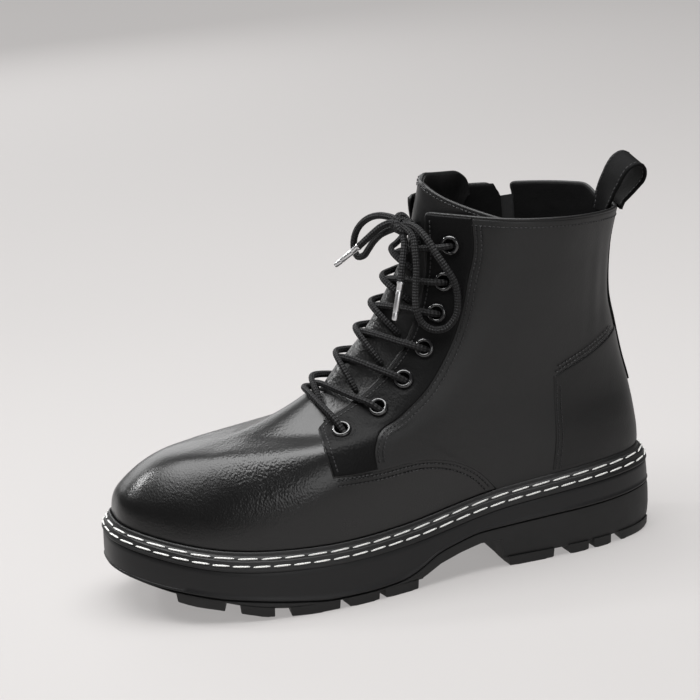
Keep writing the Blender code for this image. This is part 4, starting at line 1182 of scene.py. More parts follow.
# ------------------------------------------------------------ tongue
# A single tongue of the same leather with its own lining, bound along the top and sewn in at the
# sides so that it folds under the facings. It stands a little above the collar.
TONGUE_THICK = 3.0
TONGUE_DEPTH = WALL + 0.75
TONGUE_FOOT = (0.500, 0.485)
TONGUE_SIDE = 0.965
TONGUE_HALF = ((0.0, 25.5), (0.35, 26.0), (0.7, 27.5), (1.0, 30.0))
TONGUE_TOP = (                         # level of the upper edge, from the inner to the outer side
    (-1.0, 0.975), (-0.96, 1.025), (-0.86, 1.052), (-0.5, 1.062), (-0.1, 1.075), (0.05, 1.075),
    (0.3, 1.055), (1.0, 0.985),
)
TONGUE_TURN = ((-1.0, 1.42), (0.0, 1.36), (1.0, 1.33))
TONGUE_FLARE = 0.70
TONGUE_TUCK = 0.9
TONGUE_CROWN = ((0.0, 2.9), (4.0, 2.7), (13.0, 0.3), (18.0, 0.0), (40.0, 0.0))
CROWN_FROM, CROWN_END = (0.17, 0.12), (0.85, 0.25)   # share where it begins and ends, and how softly


def tongue_place(share, across):
    """Level and angle of the tongue at a share of its length and a share of its half width."""
    edge = np.abs(across) ** 2
    foot = TONGUE_FOOT[0] + (TONGUE_FOOT[1] - TONGUE_FOOT[0]) * edge
    high = 1.0 + (TONGUE_SIDE - 1.0) * edge
    half = smooth(*zip(*TONGUE_HALF), share)
    level, angle = throat_place(foot + (high - foot) * share, across * half)
    flare = ease((share - TONGUE_FLARE) / (1.0 - TONGUE_FLARE))
    level = level + (np.interp(across, *zip(*TONGUE_TOP)) - level) * flare
    turn = np.interp(across, *zip(*TONGUE_TURN))
    angle = angle + (across * turn - angle) * flare
    crown = (smooth(*zip(*TONGUE_CROWN), np.abs(across) * half)
             * ease((share - CROWN_FROM[0]) / CROWN_FROM[1]) * ease((CROWN_END[0] - share) / CROWN_END[1]))
    return level, angle, crown - TONGUE_TUCK * flare * np.abs(across)


def tongue_line(share, across, depth):
    """Points a depth below the skin at places on the tongue."""
    level, angle, crown = tongue_place(np.asarray(share, float), np.asarray(across, float))
    return over_skin(level, angle, crown - depth)


across = np.sin(np.linspace(-1.0, 1.0, 81) * math.pi / 2)[None, :]
shares = np.linspace(0.0, 1.0, 150)[:, None]
crease = (0.12 * np.sin(shares * 46.0 + 2.0 * across) * np.cos(across * 1.3)
          + 0.10 * np.sin(shares * 91.0 + 3.1 * np.sin(across * 2.4))) * (1.0 - shares) ** 0.3
tongue_level, tongue_turn, crown = tongue_place(shares, across)
front_face = over_skin(tongue_level, tongue_turn, crown - TONGUE_DEPTH + crease)
back_face = over_skin(tongue_level, tongue_turn, crown - TONGUE_DEPTH - TONGUE_THICK)
tongue_rows = np.concatenate([front_face, back_face[::-1], front_face[:1]])
caps = [np.stack([front_face[:, side], back_face[:, side]], axis=1) for side in (0, -1)]
tongue_black = black_leather("tongue_leather", (0.0022, 0.0022, 0.0024), (0.0038, 0.0038, 0.0040),
                             (0.26, 0.40), 0.00014, 0.0008, 1.55)
tongue = joined("tongue_leather", [tongue_rows, *caps], tongue_black)
set_flex(tongue, lambda points: 0.75 * np.clip((170.0 - points[:, 2]) / 40.0, 0.15, 1.0))
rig.replaces(tongue, "tongue")
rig.slot(tongue, "tongue_leather")

middle = TONGUE_DEPTH + TONGUE_THICK / 2
bound = np.linspace(-1.0, 1.0, 110)
down, side = np.linspace(1.0, 0.84, 14), np.ones(14)
binding_line = evenly(np.vstack([tongue_line(down[::-1], -side, middle)[:-1],
                                 tongue_line(np.ones(110), bound, middle),
                                 tongue_line(down, side, middle)[1:]]), 1.6)
binding_rows = tube(rounded(binding_line, 3), TONGUE_THICK / 2 - 0.2, 12)
binding = joined("tongue_binding", [binding_rows], counter_black)
set_flex(binding, 0.3)
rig.slot(binding, "tongue_leather")
work = bmesh.new()
row_level, row_turn, _ = tongue_place(np.full(110, 0.955), np.linspace(-0.95, 0.95, 110))
stitches(work, over_skin(row_level, row_turn, 0.05 - TONGUE_DEPTH), outward(row_level, row_turn),
         PITCH, STITCH, THREAD, 0.0)
tongue_seam = piece("tongue_seam", work, thread_black.material)
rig.slot(tongue_seam, "tongue_leather")

# ------------------------------------------------------------ eyelets
# Brass eyelets in gloss black enamel, pressed through the facings: a rolled rim outside and a
# barrel through the leather.
EYELET_RIM = (                         # distance from the axis and height above the facing
    (3.05, -2.4), (3.05, 0.2), (3.12, 0.75), (3.35, 1.12), (3.75, 1.32), (4.15, 1.30), (4.6, 1.08),
    (4.95, 0.65), (5.08, 0.2), (5.0, -0.25), (4.4, -0.4), (3.9, -1.4), (3.45, -2.4),
)
RIM_SEAT = 0.10


def turned(work, profile, steps, close):
    """Spins a profile of radii and heights round the Z axis."""
    line = [work.verts.new((radius * MM, 0.0, height * MM)) for radius, height in profile]
    edges = [work.edges.new(pair) for pair in zip(line, line[1:] + (line[:1] if close else []))]
    bmesh.ops.spin(work, geom=line + edges, axis=(0.0, 0.0, 1.0), cent=(0.0, 0.0, 0.0), steps=steps,
                   angle=2.0 * math.pi, use_merge=True)
    bmesh.ops.remove_doubles(work, verts=work.verts, dist=1e-7)
    bmesh.ops.holes_fill(work, edges=work.edges, sides=0)
    bmesh.ops.recalc_face_normals(work, faces=work.faces)


enamel = Finish("eyelet_enamel", (0.006, 0.006, 0.0065), 0.16,
                **{"Coat Weight": 1.0, "Coat Roughness": 0.05})
worn = enamel.noise(900.0, 4.0)
enamel.wear({"Roughness": enamel.spread(worn, 0.10, 0.26), "Normal": enamel.bump(worn, 0.00003, 0.4),
             "Base Color": enamel.tint(worn, (0.004, 0.004, 0.0045), (0.010, 0.010, 0.011))})
for side, number, level, angle in eyelet_places():
    work = bmesh.new()
    turned(work, EYELET_RIM, 48, True)
    bmesh.ops.transform(work, verts=work.verts, matrix=square_to_skin(level, angle, FACING_RISE + RIM_SEAT))
    name = f"{'lateral' if side > 0 else 'medial'}_{number}"
    eyelet = piece(f"eyelet_ring_{name}", work, enamel.material, 70.0)
    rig.replaces(eyelet, f"eyelet_{name}")
    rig.slot(eyelet, "eyelet_black")

# ------------------------------------------------------------ zip
# Nickel teeth on a black woven tape, closed, sewn behind the folded edges on the inner side. Its
# slider stays at the top, where the pull tab hangs from a pin under the slider's crown.
SLIDER_Z = 164.5
HINGE_OUT = 3.3
BODY_TOP = 2.0
SLIDER_WIDE, SLIDER_LONG = 7.2, 9.6
TOOTH_PITCH = 2.1
TEETH_FROM = 67.0
ZIP_STOPS = (65.6, 170.6)              # heights of the metal stops at the zip's ends
TAPE_HALF = 5.6
TAPE_TOP, TAPE_UNDER = -0.75, -1.55    # heights of the tape's faces over the skin
TAB_AT = -12.6                         # middle of the tab's square end, below the pin

tape = Finish("zip_tape", (0.006, 0.006, 0.0065), 0.85)
woven = tape.threads("Z", 520.0, 0.4) * tape.threads("X", 520.0, 0.4)
tape.wear({"Normal": tape.bump(woven, 0.00018, 0.8),
           "Base Color": tape.tint(woven, (0.004, 0.004, 0.0045), (0.014, 0.014, 0.015))})
nickel = Finish("zip_nickel", (0.72, 0.72, 0.73), 0.24, **{"Metallic": 1.0})
scratches = nickel.noise(1400.0, 5.0)
nickel.wear({"Roughness": nickel.spread(scratches, 0.16, 0.38),
             "Base Color": nickel.tint(scratches, (0.60, 0.60, 0.62), (0.80, 0.80, 0.80)),
             "Normal": nickel.bump(scratches, 0.00003, 0.4)})

tape_z = np.linspace(64.5, 171.5, 60)
tape_x = np.linspace(-TAPE_HALF, TAPE_HALF, 13)
tape_top, tape_under = (np.stack([inner_side(zip_x(z) + tape_x, z, height) for z in tape_z])
                        for height in (TAPE_TOP, TAPE_UNDER))
zip_tape = joined("zip_tape", [np.concatenate([tape_top, tape_under[::-1], tape_top[:1]])], tape.material)
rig.slot(zip_tape, "zip_tape")


def inner_frame(x, z, height):
    """Frame above the inner side's skin: X across the zip, Y up along it, Z out from the skin."""
    level, angle = side_place(x, z)
    place = skin(level, -angle)
    up = Vector(inner_side(x + zip_x(z + 4.0) - zip_x(z), z + 4.0, 0.0) - place).normalized()
    out = Vector(outward(level, -angle))
    out = (out - up * out.dot(up)).normalized()
    turn = Matrix((up.cross(out), up, out)).transposed().to_4x4()
    return Matrix.Translation(Vector(metres(place)) + out * height * MM) @ turn


def block(work, size, centre, frame_at, round_off, segments=2):
    """Bevelled block in millimetres of a frame."""
    made = bmesh.ops.create_cube(work, size=1.0, matrix=Matrix.Translation(Vector(centre) * MM)
                                 @ Matrix.Diagonal((*(Vector(size) * MM), 1.0)))
    edges = list({edge for vert in made["verts"] for edge in vert.link_edges})
    shaped = bmesh.ops.bevel(work, geom=edges, offset=round_off * MM, segments=segments, profile=0.5,
                             affect="EDGES", material=-1)
    verts = list({vert for face in shaped["faces"] for vert in face.verts} | {
        vert for vert in made["verts"] if vert.is_valid})
    bmesh.ops.transform(work, matrix=frame_at, verts=verts)


work = bmesh.new()
block(work, (2.9, 1.15, 1.5), (0.0, 0.0, 0.0), Matrix.Identity(4), 0.3)
tooth = mesh_of("tooth", work)
work = bmesh.new()
for number, z in enumerate(np.arange(TEETH_FROM, SLIDER_Z + 4.0, TOOTH_PITCH / 2).tolist()):
    shift = 0.95 if number % 2 else -0.95
    one = tooth.copy()
    one.transform(inner_frame(zip_x(z), z, -0.35) @ Matrix.Translation((shift * MM, 0.0, 0.0)))
    work.from_mesh(one)
    bpy.data.meshes.remove(one)
for z in ZIP_STOPS:
    block(work, (3.6, 1.6, 1.7), (0.0, 0.0, 0.0), inner_frame(zip_x(z), z, -0.3), 0.35)
teeth = piece("zip_teeth", work, nickel.material)
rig.replaces(teeth, "zip_chain")
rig.slot(teeth, "zip_metal")

slider_frame = inner_frame(zip_x(SLIDER_Z), SLIDER_Z, 0.0)
work = bmesh.new()
body = bmesh.ops.create_grid(work, x_segments=8, y_segments=10, size=0.5)
for vert in body["verts"]:
    x, y = vert.co.x * SLIDER_WIDE, vert.co.y * SLIDER_LONG
    taper = 1.0 - 0.26 * np.clip(0.5 - y / SLIDER_LONG, 0.0, 1.0)
    vert.co = Vector((x * taper, y, BODY_TOP - 0.35 * (2.0 * abs(vert.co.x)) ** 4)) * MM
lifted = bmesh.ops.extrude_face_region(work, geom=work.faces[:])
bmesh.ops.translate(work, vec=(0.0, 0.0, -2.0 * MM),
                    verts=[item for item in lifted["geom"] if isinstance(item, bmesh.types.BMVert)])
bmesh.ops.recalc_face_normals(work, faces=work.faces)
rim = [edge for edge in work.edges if edge.calc_face_angle(0.0) > 1.0]
bmesh.ops.bevel(work, geom=rim, offset=0.35 * MM, segments=2, profile=0.5, affect="EDGES", material=-1)
bmesh.ops.transform(work, verts=work.verts, matrix=slider_frame)
for y in (-2.1, 2.1):
    block(work, (1.5, 1.1, HINGE_OUT + 2.2 - BODY_TOP), (0.0, y, (HINGE_OUT + 1.0 + BODY_TOP - 1.2) / 2),
          slider_frame, 0.3)
block(work, (1.5, 5.3, 0.9), (0.0, 0.0, HINGE_OUT + 1.35), slider_frame, 0.35)
slider = piece("slider", work, nickel.material)
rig.replaces(slider, "zip_slider")
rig.slot(slider, "zip_metal")

pull_frame = slider_frame @ Matrix.Translation((0.0, 0.0, HINGE_OUT * MM))
work = bmesh.new()
bmesh.ops.create_cone(work, cap_ends=True, segments=20, radius1=0.6 * MM, radius2=0.6 * MM, depth=4.6 * MM,
                      matrix=pull_frame @ Matrix.Rotation(math.pi / 2, 4, "Y"))
for x in (-1.85, 1.85):
    block(work, (0.9, 4.6, 1.1), (x, -2.1, 0.0), pull_frame, 0.3)
block(work, (4.6, 1.1, 1.1), (0.0, -4.4, 0.0), pull_frame, 0.35)
block(work, (2.6, 5.4, 1.1), (0.0, -6.6, 0.0), pull_frame, 0.35)
block(work, (7.4, 7.4, 1.3), (0.0, TAB_AT, 0.0), pull_frame, 0.5, 3)
for z in (-0.66, 0.66):
    block(work, (4.8, 4.8, 0.24), (0.0, TAB_AT, z), pull_frame, 0.1, 1)
pull = piece("zip_pull_tab", work, nickel.material)
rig.ride(pull, "zip_pull")
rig.replaces(pull, "zip_pull")
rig.slot(pull, "zip_metal")

# ------------------------------------------------------------ pull loop
# A folded strip of the same leather with raw cut edges, sewn to both faces of the collar's back.
LOOP_WIDE = 19.5
LOOP_THICK = 1.6
LOOP_ROUND = 0.35                      # how far its edges are worn round
LOOP_LEAN = math.radians(13.0)
LOOP_INSIDE, LOOP_OUTSIDE = (0.960, 0.972, 0.985), (0.992, 0.987)   # levels of its sewn ends
LOOP_PATH = (
    (2.6, 4.2), (1.0, 10.8), (-1.4, 17.0), (-5.2, 21.8), (-9.6, 23.2), (-13.4, 21.2),
    (-14.4, 16.6), (-11.8, 11.0), (-7.6, 5.0), (-4.6, 1.6),
)
GAP = 0.35


def loop_rows(offset, inset):
    """The strip's rows, offset towards its outer face and inset from its long edges."""
    across = np.linspace(-LOOP_WIDE / 2 + inset, LOOP_WIDE / 2 - inset, 11)
    collar = LAST[-2]
    turn = back_turn(collar.level, across)
    rows = [over_skin(level, turn, -(WALL + 2 * GAP + LOOP_THICK / 2) - offset) for level in LOOP_INSIDE]
    path = through(LOOP_PATH, 34)
    for (x, z), (run_x, run_z) in zip(path, unit(np.gradient(path, axis=0))):
        flat = np.clip((z + 1.0) / 14.0, 0.0, 1.0)
        curl = across**2 / 62.0 * (1.0 - flat)
        lean = math.sin(LOOP_LEAN) * flat
        rows.append(np.column_stack([collar.back_x + x + curl + run_z * offset, across + lean * z,
                                     collar.back_z + z - lean * across - run_x * offset]))
    rows += [over_skin(level, turn, FACING_RISE + 1.15 + LOOP_THICK / 2 + offset) for level in LOOP_OUTSIDE]
    return np.stack(rows)


strip_faces = [loop_rows(face * (LOOP_THICK / 2 - sunk), LOOP_ROUND - sunk) for face, sunk in
               ((-1.0, 0.0), (-1.0, LOOP_ROUND), (1.0, LOOP_ROUND), (1.0, 0.0))]
strip = [strip_faces[0][:, ::-1], strip_faces[3]]
for k in range(3):
    strip += [np.stack([strip_faces[k][:, edge], strip_faces[k + 1][:, edge]], axis=1) for edge in (0, -1)]
for end in (0, -1):
    strip.append(np.stack([strip_faces[0][end], strip_faces[3][end]], axis=0))
loop = joined("pull_loop_strip", strip, strip_black)
set_flex(loop, 0.25)
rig.replaces(loop, "pull_loop")
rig.slot(loop, "loop_webbing")
work = bmesh.new()
for across in (-LOOP_WIDE / 2 + 1.6, LOOP_WIDE / 2 - 1.6):
    for face in (-1.0, 1.0):
        rows = loop_rows(face * LOOP_THICK / 2, 0.0)
        share = (across + LOOP_WIDE / 2) / LOOP_WIDE * 10
        low, part = int(share), share - int(share)
        line = rows[:, low] * (1 - part) + rows[:, low + 1] * part
        normal = unit(np.cross(np.gradient(line, axis=0), rows[:, 6] - rows[:, 4])) * face
        stitches(work, line, normal, 2.6, 1.9, 0.32, 0.1)
loop_seam = piece("pull_loop_seams", work, thread_black.material)
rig.slot(loop_seam, "loop_webbing")

# ------------------------------------------------------------ welt
# A black rubber welt moulded with a bead against the upper and two stitched steps. Both rows are
# sewn through to the midsole with thick white thread.
feather_edge = outline(0.0)
edge_turns = around(0.0, SOLE_COLUMNS)
edge_levels = np.zeros(SOLE_COLUMNS)
for _ in range(12):
    short = feather(skin(edge_levels, edge_turns)[:, 0]) - skin(edge_levels, edge_turns)[:, 2]
    edge_levels = np.clip(edge_levels + short * 0.006, 0.0, 0.2)
bulge = np.linalg.norm(skin(edge_levels, edge_turns)[:, :2] - feather_edge, axis=1)

WELT_PROFILE = (                       # 1 follows the upper's bulge, then distance out and height
    (1, -1.4, -6.6), (1, -1.4, 0.4), (1, 0.05, 1.15), (1, 0.35, 1.75), (1, 0.85, 2.05), (1, 1.35, 1.85),
    (1, 1.70, 1.30), (1, 1.85, 0.70), (1, 2.05, 0.20), (0, 3.6, -0.1), (0, 4.1, -0.55), (0, 4.55, -1.25),
    (0, 4.80, -1.75), (0, 5.0, -1.85), (0, 5.25, -1.95), (0, 5.45, -2.35), (0, 5.55, -2.95),
    (0, 5.95, -3.5), (0, 6.5, -4.9), (0, 6.85, -5.75), (0, 7.1, -6.05), (0, 7.2, -6.5), (0, 7.05, -6.95),
    (0, 6.5, -7.05), (1, -1.4, -7.0), (1, -1.4, -6.6),
)
WELT_SEAMS = (                         # the same, then the pitch and the length of the stitches
    (0, 4.22, -0.72, 11.7, 10.2), (0, 6.2, -4.15, 10.2, 8.8),
)


def welt_offset(kind, out):
    """Distance from the feather line: from the upper's bulge for the bead, else at least clear of it."""
    return bulge + out if kind else np.maximum(out, bulge + 2.2 + (out - 3.6) * 0.8)


def welt_row(kind, out, height):
    """A row of the welt around the boot, closed on itself."""
    edge = outline(welt_offset(kind, out))
    row = np.column_stack([edge, feather(edge[:, 0]) + height])
    return np.vstack([row, row[:1]])


rubber = Finish("welt_rubber", (0.006, 0.006, 0.006), 0.50, IOR=1.45)
cast = rubber.noise(420.0, 4.0)
dust = rubber.noise(60.0, 3.0)
rubber.wear({"Roughness": rubber.spread(dust, 0.42, 0.60),
             "Base Color": rubber.tint(dust, (0.0048, 0.0048, 0.0050), (0.0078, 0.0078, 0.0080)),
             "Normal": rubber.bump(cast, 0.00006, 0.5, rubber.bump(dust, 0.0005, 0.25))})
welt = joined("welt_strip", [np.stack([welt_row(*point) for point in WELT_PROFILE])], rubber.material)
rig.replaces(welt, "welt")
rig.slot(welt, "welt_rubber")

white = Finish("welt_thread", (0.80, 0.80, 0.78), 0.55)
ply = white.threads("DIAGONAL", 520.0, 1.5)
white.wear({"Base Color": white.tint(ply, (0.78, 0.78, 0.76), (0.95, 0.95, 0.93)),
            "Normal": white.bump(ply, 0.00022, 0.8)})
work = bmesh.new()
for kind, out, height, pitch, long in WELT_SEAMS:
    line = welt_row(kind, out, height)
    slope = welt_row(kind, out + 0.3, height - 0.4) - welt_row(kind, out - 0.3, height + 0.4)
    normal = unit(np.cross(np.gradient(line, axis=0), slope))
    normal *= np.sign(normal[:, 2:])
    run = run_along(line)[-1]
    first = len(line) // 2             # the stitching starts and ends at the heel
    line, normal = (np.vstack([rows[first:], rows[1:first + 1]]) for rows in (line, normal))
    stitches(work, line, normal, run / round(run / pitch), long, 0.46, 0.05, 0.035)
white_seams = piece("white_stitches", work, white.material)
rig.slot(white_seams, "welt_rubber")

# ------------------------------------------------------------ midsole
# Smooth black rubber sidewall, a little wider at its foot, with a thin lip at the parting line.
SPLIT = (
    (0, 21.4), (30, 20.5), (67, 19.6), (92, 18.3), (112, 17.4), (135, 12.0), (146, 5.6), (155, 2.5),
    (172, 1.3), (198, 1.4), (220, 4.2), (250, 8.6), (281, 15.4), (300, 21.2),
)
GROUND = (
    (0, -2.2), (6, -3.9), (14, -4.3), (216, -4.3), (228, -2.8), (238, -0.9), (251, 2.8), (264, 5.0),
    (272, 7.6), (283, 11.2), (292, 14.4), (300, 17.6),
)


def soften(table):
    """The table's heights with their corners rounded over a few millimetres."""
    stations = np.arange(-12.0, 312.0, 1.0)
    heights = np.interp(stations, *zip(*table))
    blur = np.exp(-np.linspace(-2.2, 2.2, 19) ** 2)
    heights = np.convolve(np.pad(heights, 9, "edge"), blur / blur.sum(), "valid")
    return lambda x: np.interp(x, stations, heights)


split, ground = soften(SPLIT), soften(GROUND)


def side_row(offset, share, lift):
    """A row of the sidewall at a share of its height from the parting line up to the welt."""
    edge = outline(offset)
    low, high = split(edge[:, 0]) + GAP / 2, feather(edge[:, 0]) - WELT_HIGH - GAP
    row = np.column_stack([edge, low + (high - low) * share + lift])
    return np.vstack([row, row[:1]])


SIDE_PROFILE = (                       # distance out, share of the height, and millimetres above it
    (-14.0, 0.0, 0.0), (5.0, 0.0, 0.0), (6.7, 0.0, 0.0), (7.3, 0.0, 0.25), (7.5, 0.0, 0.8), (7.3, 0.0, 1.35),
    (7.05, 0.0, 1.6), (7.1, 0.15, 1.6), (7.0, 0.45, 0.8), (6.75, 0.8, 0.2), (6.65, 0.97, 0.0),
    (6.3, 1.0, 0.0), (5.0, 1.0, 0.0), (-14.0, 1.0, 0.0), (-14.0, 0.0, 0.0),
)
satin = Finish("sidewall_rubber", (0.008, 0.008, 0.009), 0.42, IOR=1.42)
flow = satin.noise(34.0, 3.0)
specks = satin.noise(700.0, 3.0)
satin.wear({"Roughness": satin.spread(flow, 0.38, 0.56),
            "Base Color": satin.tint(flow, (0.0045, 0.0045, 0.0050), (0.0065, 0.0065, 0.0072)),
            "Normal": satin.bump(specks, 0.00005, 0.5, satin.bump(flow, 0.0008, 0.2))})
midsole = joined("sidewall", [np.stack([side_row(*point) for point in SIDE_PROFILE])], satin.material)
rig.replaces(midsole, "midsole")
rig.slot(midsole, "sidewall_rubber")

# ------------------------------------------------------------ outsole
# Black moulded tread: a plate that thickens into the heel block, with chunky lugs along both edges
# and a plain field between them. An arch parts the heel from the forefoot.
TREAD_OUT = 7.6
LUG_DEEP = 4.2
LUG_RUN = 25.0
LUG_INTO = 0.9                         # how far a lug reaches up into the plate
LUG_INSET = 0.15                       # how far its outer face lies in from the tread's edge
ARCH = ((97.5, -9.0), (97.5, 11.2), (110, 11.7), (122, 9.4), (134, 6.2), (144.5, 1.2), (146.5, -9.0))
CHANNELS = (                           # x, width and turn of the gaps between the lugs
    (274.0, 5.0, 34.0), (246.0, 7.0, 18.0), (221.7, 7.8, 8.0), (189.5, 4.6, -4.0), (168.5, 3.2, -8.0),
    (146.0, 3.0, 0.0), (96.0, 3.0, 0.0), (63.8, 9.0, 0.0), (46.0, 3.2, 0.0), (30.4, 6.0, 6.0),
)


def plate_low(x):
    return ground(x) + LUG_DEEP


def plate_high(x):
    return split(x) - GAP / 2


def rim_row(offset, share):
    """A row of the plate's rounded rim at a share of its height."""
    return sole_row(offset, lambda x: plate_low(x) + 0.5 + share * np.maximum(
        plate_high(x) - plate_low(x) - 0.9, 0.3))


plate_rows = [
    *(sole_row(0.0, plate_low, share) for share in (0.0, 0.3, 0.6, 0.85)),
    sole_row(3.0, plate_low), sole_row(5.6, plate_low), sole_row(6.3, lambda x: plate_low(x) + 0.35),
    rim_row(6.5, 0.0), rim_row(7.0, 0.12), rim_row(7.35, 0.3), rim_row(7.45, 0.6), rim_row(7.35, 0.85),
    rim_row(7.0, 1.0), sole_row(6.4, plate_high), sole_row(3.0, plate_high),
    *(sole_row(0.0, plate_high, share) for share in (0.85, 0.5, 0.0)),
]
tread = Finish("tread_rubber", (0.005, 0.005, 0.0053), 0.55, IOR=1.44)
scuff = tread.noise(120.0, 5.0)
tread.wear({"Roughness": tread.spread(scuff, 0.46, 0.70),
            "Base Color": tread.tint(scuff, (0.0050, 0.0050, 0.0052), (0.0095, 0.0095, 0.0095)),
            "Normal": tread.bump(tread.noise(900.0, 3.0), 0.00008, 0.5)})
plate = joined("tread_plate", [np.stack(plate_rows)], tread.material)
cut(plate, [cutter_of([[(x, y, z) for x, z in ARCH] for y in (-80.0, 90.0)])])
plate.data.shade_smooth()
plate.data.set_sharp_from_angle(angle=math.radians(40))
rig.slot(plate, "tread_rubber")

outer_edge = outline(TREAD_OUT)


def rim_y(side, x):
    """Sideways place of the tread's edge on one side."""
    half = SOLE_COLUMNS // 2
    inner = np.arange(SOLE_COLUMNS, half - 1, -1) % SOLE_COLUMNS
    edge = outer_edge[:half + 1] if side > 0 else outer_edge[inner]
    order = np.argsort(edge[:, 0])
    return np.interp(x, edge[order, 0], edge[order, 1])


def lug(work, rear, fore, side, steps=5):
    """One lug from its two end lines, each an outer and an inner point, following the tread's edge."""
    (rear_out, rear_in), (fore_out, fore_in) = rear, fore
    made = bmesh.ops.create_grid(work, x_segments=steps, y_segments=3, size=0.5)
    for vert in made["verts"]:
        u, v = vert.co.x + 0.5, vert.co.y + 0.5
        out, into = rear_out * (1 - u) + fore_out * u, rear_in * (1 - u) + fore_in * u
        out[1] = rim_y(side, out[0]) - side * LUG_INSET
        x, y = out * (1 - v) + into * v
        vert.co = Vector(metres((x, y, float(plate_low(x)) + LUG_INTO)))
    faces = list({face for vert in made["verts"] for face in vert.link_faces})
    low = bmesh.ops.extrude_face_region(work, geom=faces)
    verts = [item for item in low["geom"] if isinstance(item, bmesh.types.BMVert)]
    middle = sum((vert.co for vert in verts), Vector()) / len(verts)
    for vert in verts:
        x = vert.co.x / MM + MIDDLE[0]
        vert.co.z = (float(ground(x)) - MIDDLE[2]) * MM
        vert.co.x += (middle.x - vert.co.x) * 0.04
        vert.co.y += (middle.y - vert.co.y) * 0.02
    bottom = [item for item in low["geom"] if isinstance(item, bmesh.types.BMFace)]
    rim = [edge for edge in {edge for face in bottom for edge in face.edges}
           if sum(face in bottom for face in edge.link_faces) == 1]
    bmesh.ops.bevel(work, geom=rim, offset=0.7 * MM, segments=2, profile=0.5, affect="EDGES", material=-1)


def end_line(side, x, turn):
    """Outer and inner end of a line across the tread's edge, turned by an angle."""
    turn = math.radians(turn)
    start = np.array([x, float(rim_y(side, x))])
    return start, start + np.array([-math.sin(turn), -side * math.cos(turn)]) * LUG_RUN


work = bmesh.new()
for side in (1.0, -1.0):
    for (fore_x, fore_wide, fore_turn), (rear_x, rear_wide, rear_turn) in zip(CHANNELS[:-1], CHANNELS[1:]):
        if rear_x < 97.0 < fore_x:
            continue
        lug(work, end_line(side, rear_x + rear_wide / 2, rear_turn),
            end_line(side, fore_x - fore_wide / 2, fore_turn), side)
    heel_x, heel_wide, heel_turn = CHANNELS[-1]
    lug(work, (np.array([4.5, float(rim_y(side, 4.5))]), np.array([9.0, side * 6.0])),
        end_line(side, heel_x - heel_wide / 2, heel_turn), side, 8)
lugs = piece("tread_lugs", work, tread.material, 40.0)
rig.replaces(lugs, "outsole")
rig.slot(lugs, "tread_rubber")

# ------------------------------------------------------------ laces
# Round braided polyester laces. One bar lies across the lowest pair of eyelets. From there each
# half crosses over to the next eyelet, goes in from the top and comes out under the facing's edge.
LACE = 3.6
LACE_FACETS, LACE_FLAT = 14, 0.86      # sides of a cord, and how flat it lies where it is drawn tight


def braid(name, dark, light, plaits, pitch):
    """Braided cord: two sets of yarns that cross round it, from its own UV map in metres."""
    made = Finish(name, dark, 0.68, IOR=1.38)
    around_lace = math.pi * LACE * MM
    grid = made.node("ShaderNodeTexCoord", output="UV")
    place = made.node("ShaderNodeSeparateXYZ", None, {"Vector": grid}, output="X")
    run = Wire(made, place.socket.node.outputs["Y"])
    turn = place * (plaits * 2.0 * math.pi / around_lace)
    climb = run * (2.0 * math.pi / pitch)
    left, right = (turn + climb).sum("SINE", turn + climb), (turn - climb).sum("SINE", turn - climb)
    yarn = left * right
    fuzz = made.noise(2400.0, 3.0)
    raised = made.node("ShaderNodeValToRGB", {"stops": ((0.2, 0.0), (0.85, 1.0))}, {"Fac": yarn * 0.5 + 0.5})
    made.wear({"Base Color": made.tint(raised, dark, light),
               "Normal": made.bump(yarn + fuzz * 0.4, 0.00035, 0.9),
               "Roughness": made.spread(fuzz, 0.55, 0.80)})
    return made.material


lace_black = braid("lace_braid", (0.0035, 0.0035, 0.0038), (0.016, 0.016, 0.017), 4.0, 0.0030)


def eyelet_station(x, z):
    """Station and half width of an eyelet, for the lace's route across the throat."""
    stations = np.linspace(0.5, 1.0, 251)
    ring, along = front_line(stations)
    ahead = (x - ring.front_x) * along[0] + (z - ring.front_z) * along[1]
    point = skin(*side_place(x, z))
    return float(stations[np.argmin(np.abs(ahead))]), float(point[1] - swing(0.9, point[0]))


def across_throat(start, end, heights):
    """Route from one station and half width to another, at heights above the skin."""
    share = np.linspace(0.0, 1.0, 40)
    station, half = (start[k] + (end[k] - start[k]) * share for k in (0, 1))
    level, angle = throat_place(station, half)
    return over_skin(level, angle, smooth(*np.array(heights).T, share))


ON_TOP = LACE / 2 + 2.4
EMERGE = 3.4                           # how far under the facing's edge a strand comes out
BAR = (                                # share of the way across, and height above the skin
    (0.0, 0.6), (0.10, ON_TOP + 0.1), (0.3, 3.2), (0.5, 2.7), (0.7, 3.2), (0.90, ON_TOP + 0.1), (1.0, 0.6),
)
OVER = ((0.0, -1.6), (0.12, 1.4), (0.36, 4.6), (0.62, 3.2), (0.8, 3.4), (0.92, ON_TOP), (1.0, 0.4))
UNDER = ((0.0, -1.6), (0.12, 0.7), (0.36, 1.8), (0.62, 2.2), (0.8, 3.3), (0.92, ON_TOP), (1.0, 0.4))
KNOT = np.array((131.0, 3.0, 177.4))
stations = [eyelet_station(x, z) for x, z in EYELETS]
station, half = stations[0]
strands = [across_throat((station, half + 0.6), (station, -half - 0.6), BAR)]
for (station, _), (next_station, half) in zip(stations[:-1], stations[1:]):
    start = throat_half(station) - EMERGE - 0.6
    for side, heights in ((1.0, OVER), (-1.0, UNDER)):
        strands.append(rounded(across_throat((station - 0.001, side * start),
                                             (next_station, -side * (half + 0.5)), heights)))
station, _ = stations[-1]
start = throat_half(station) - EMERGE
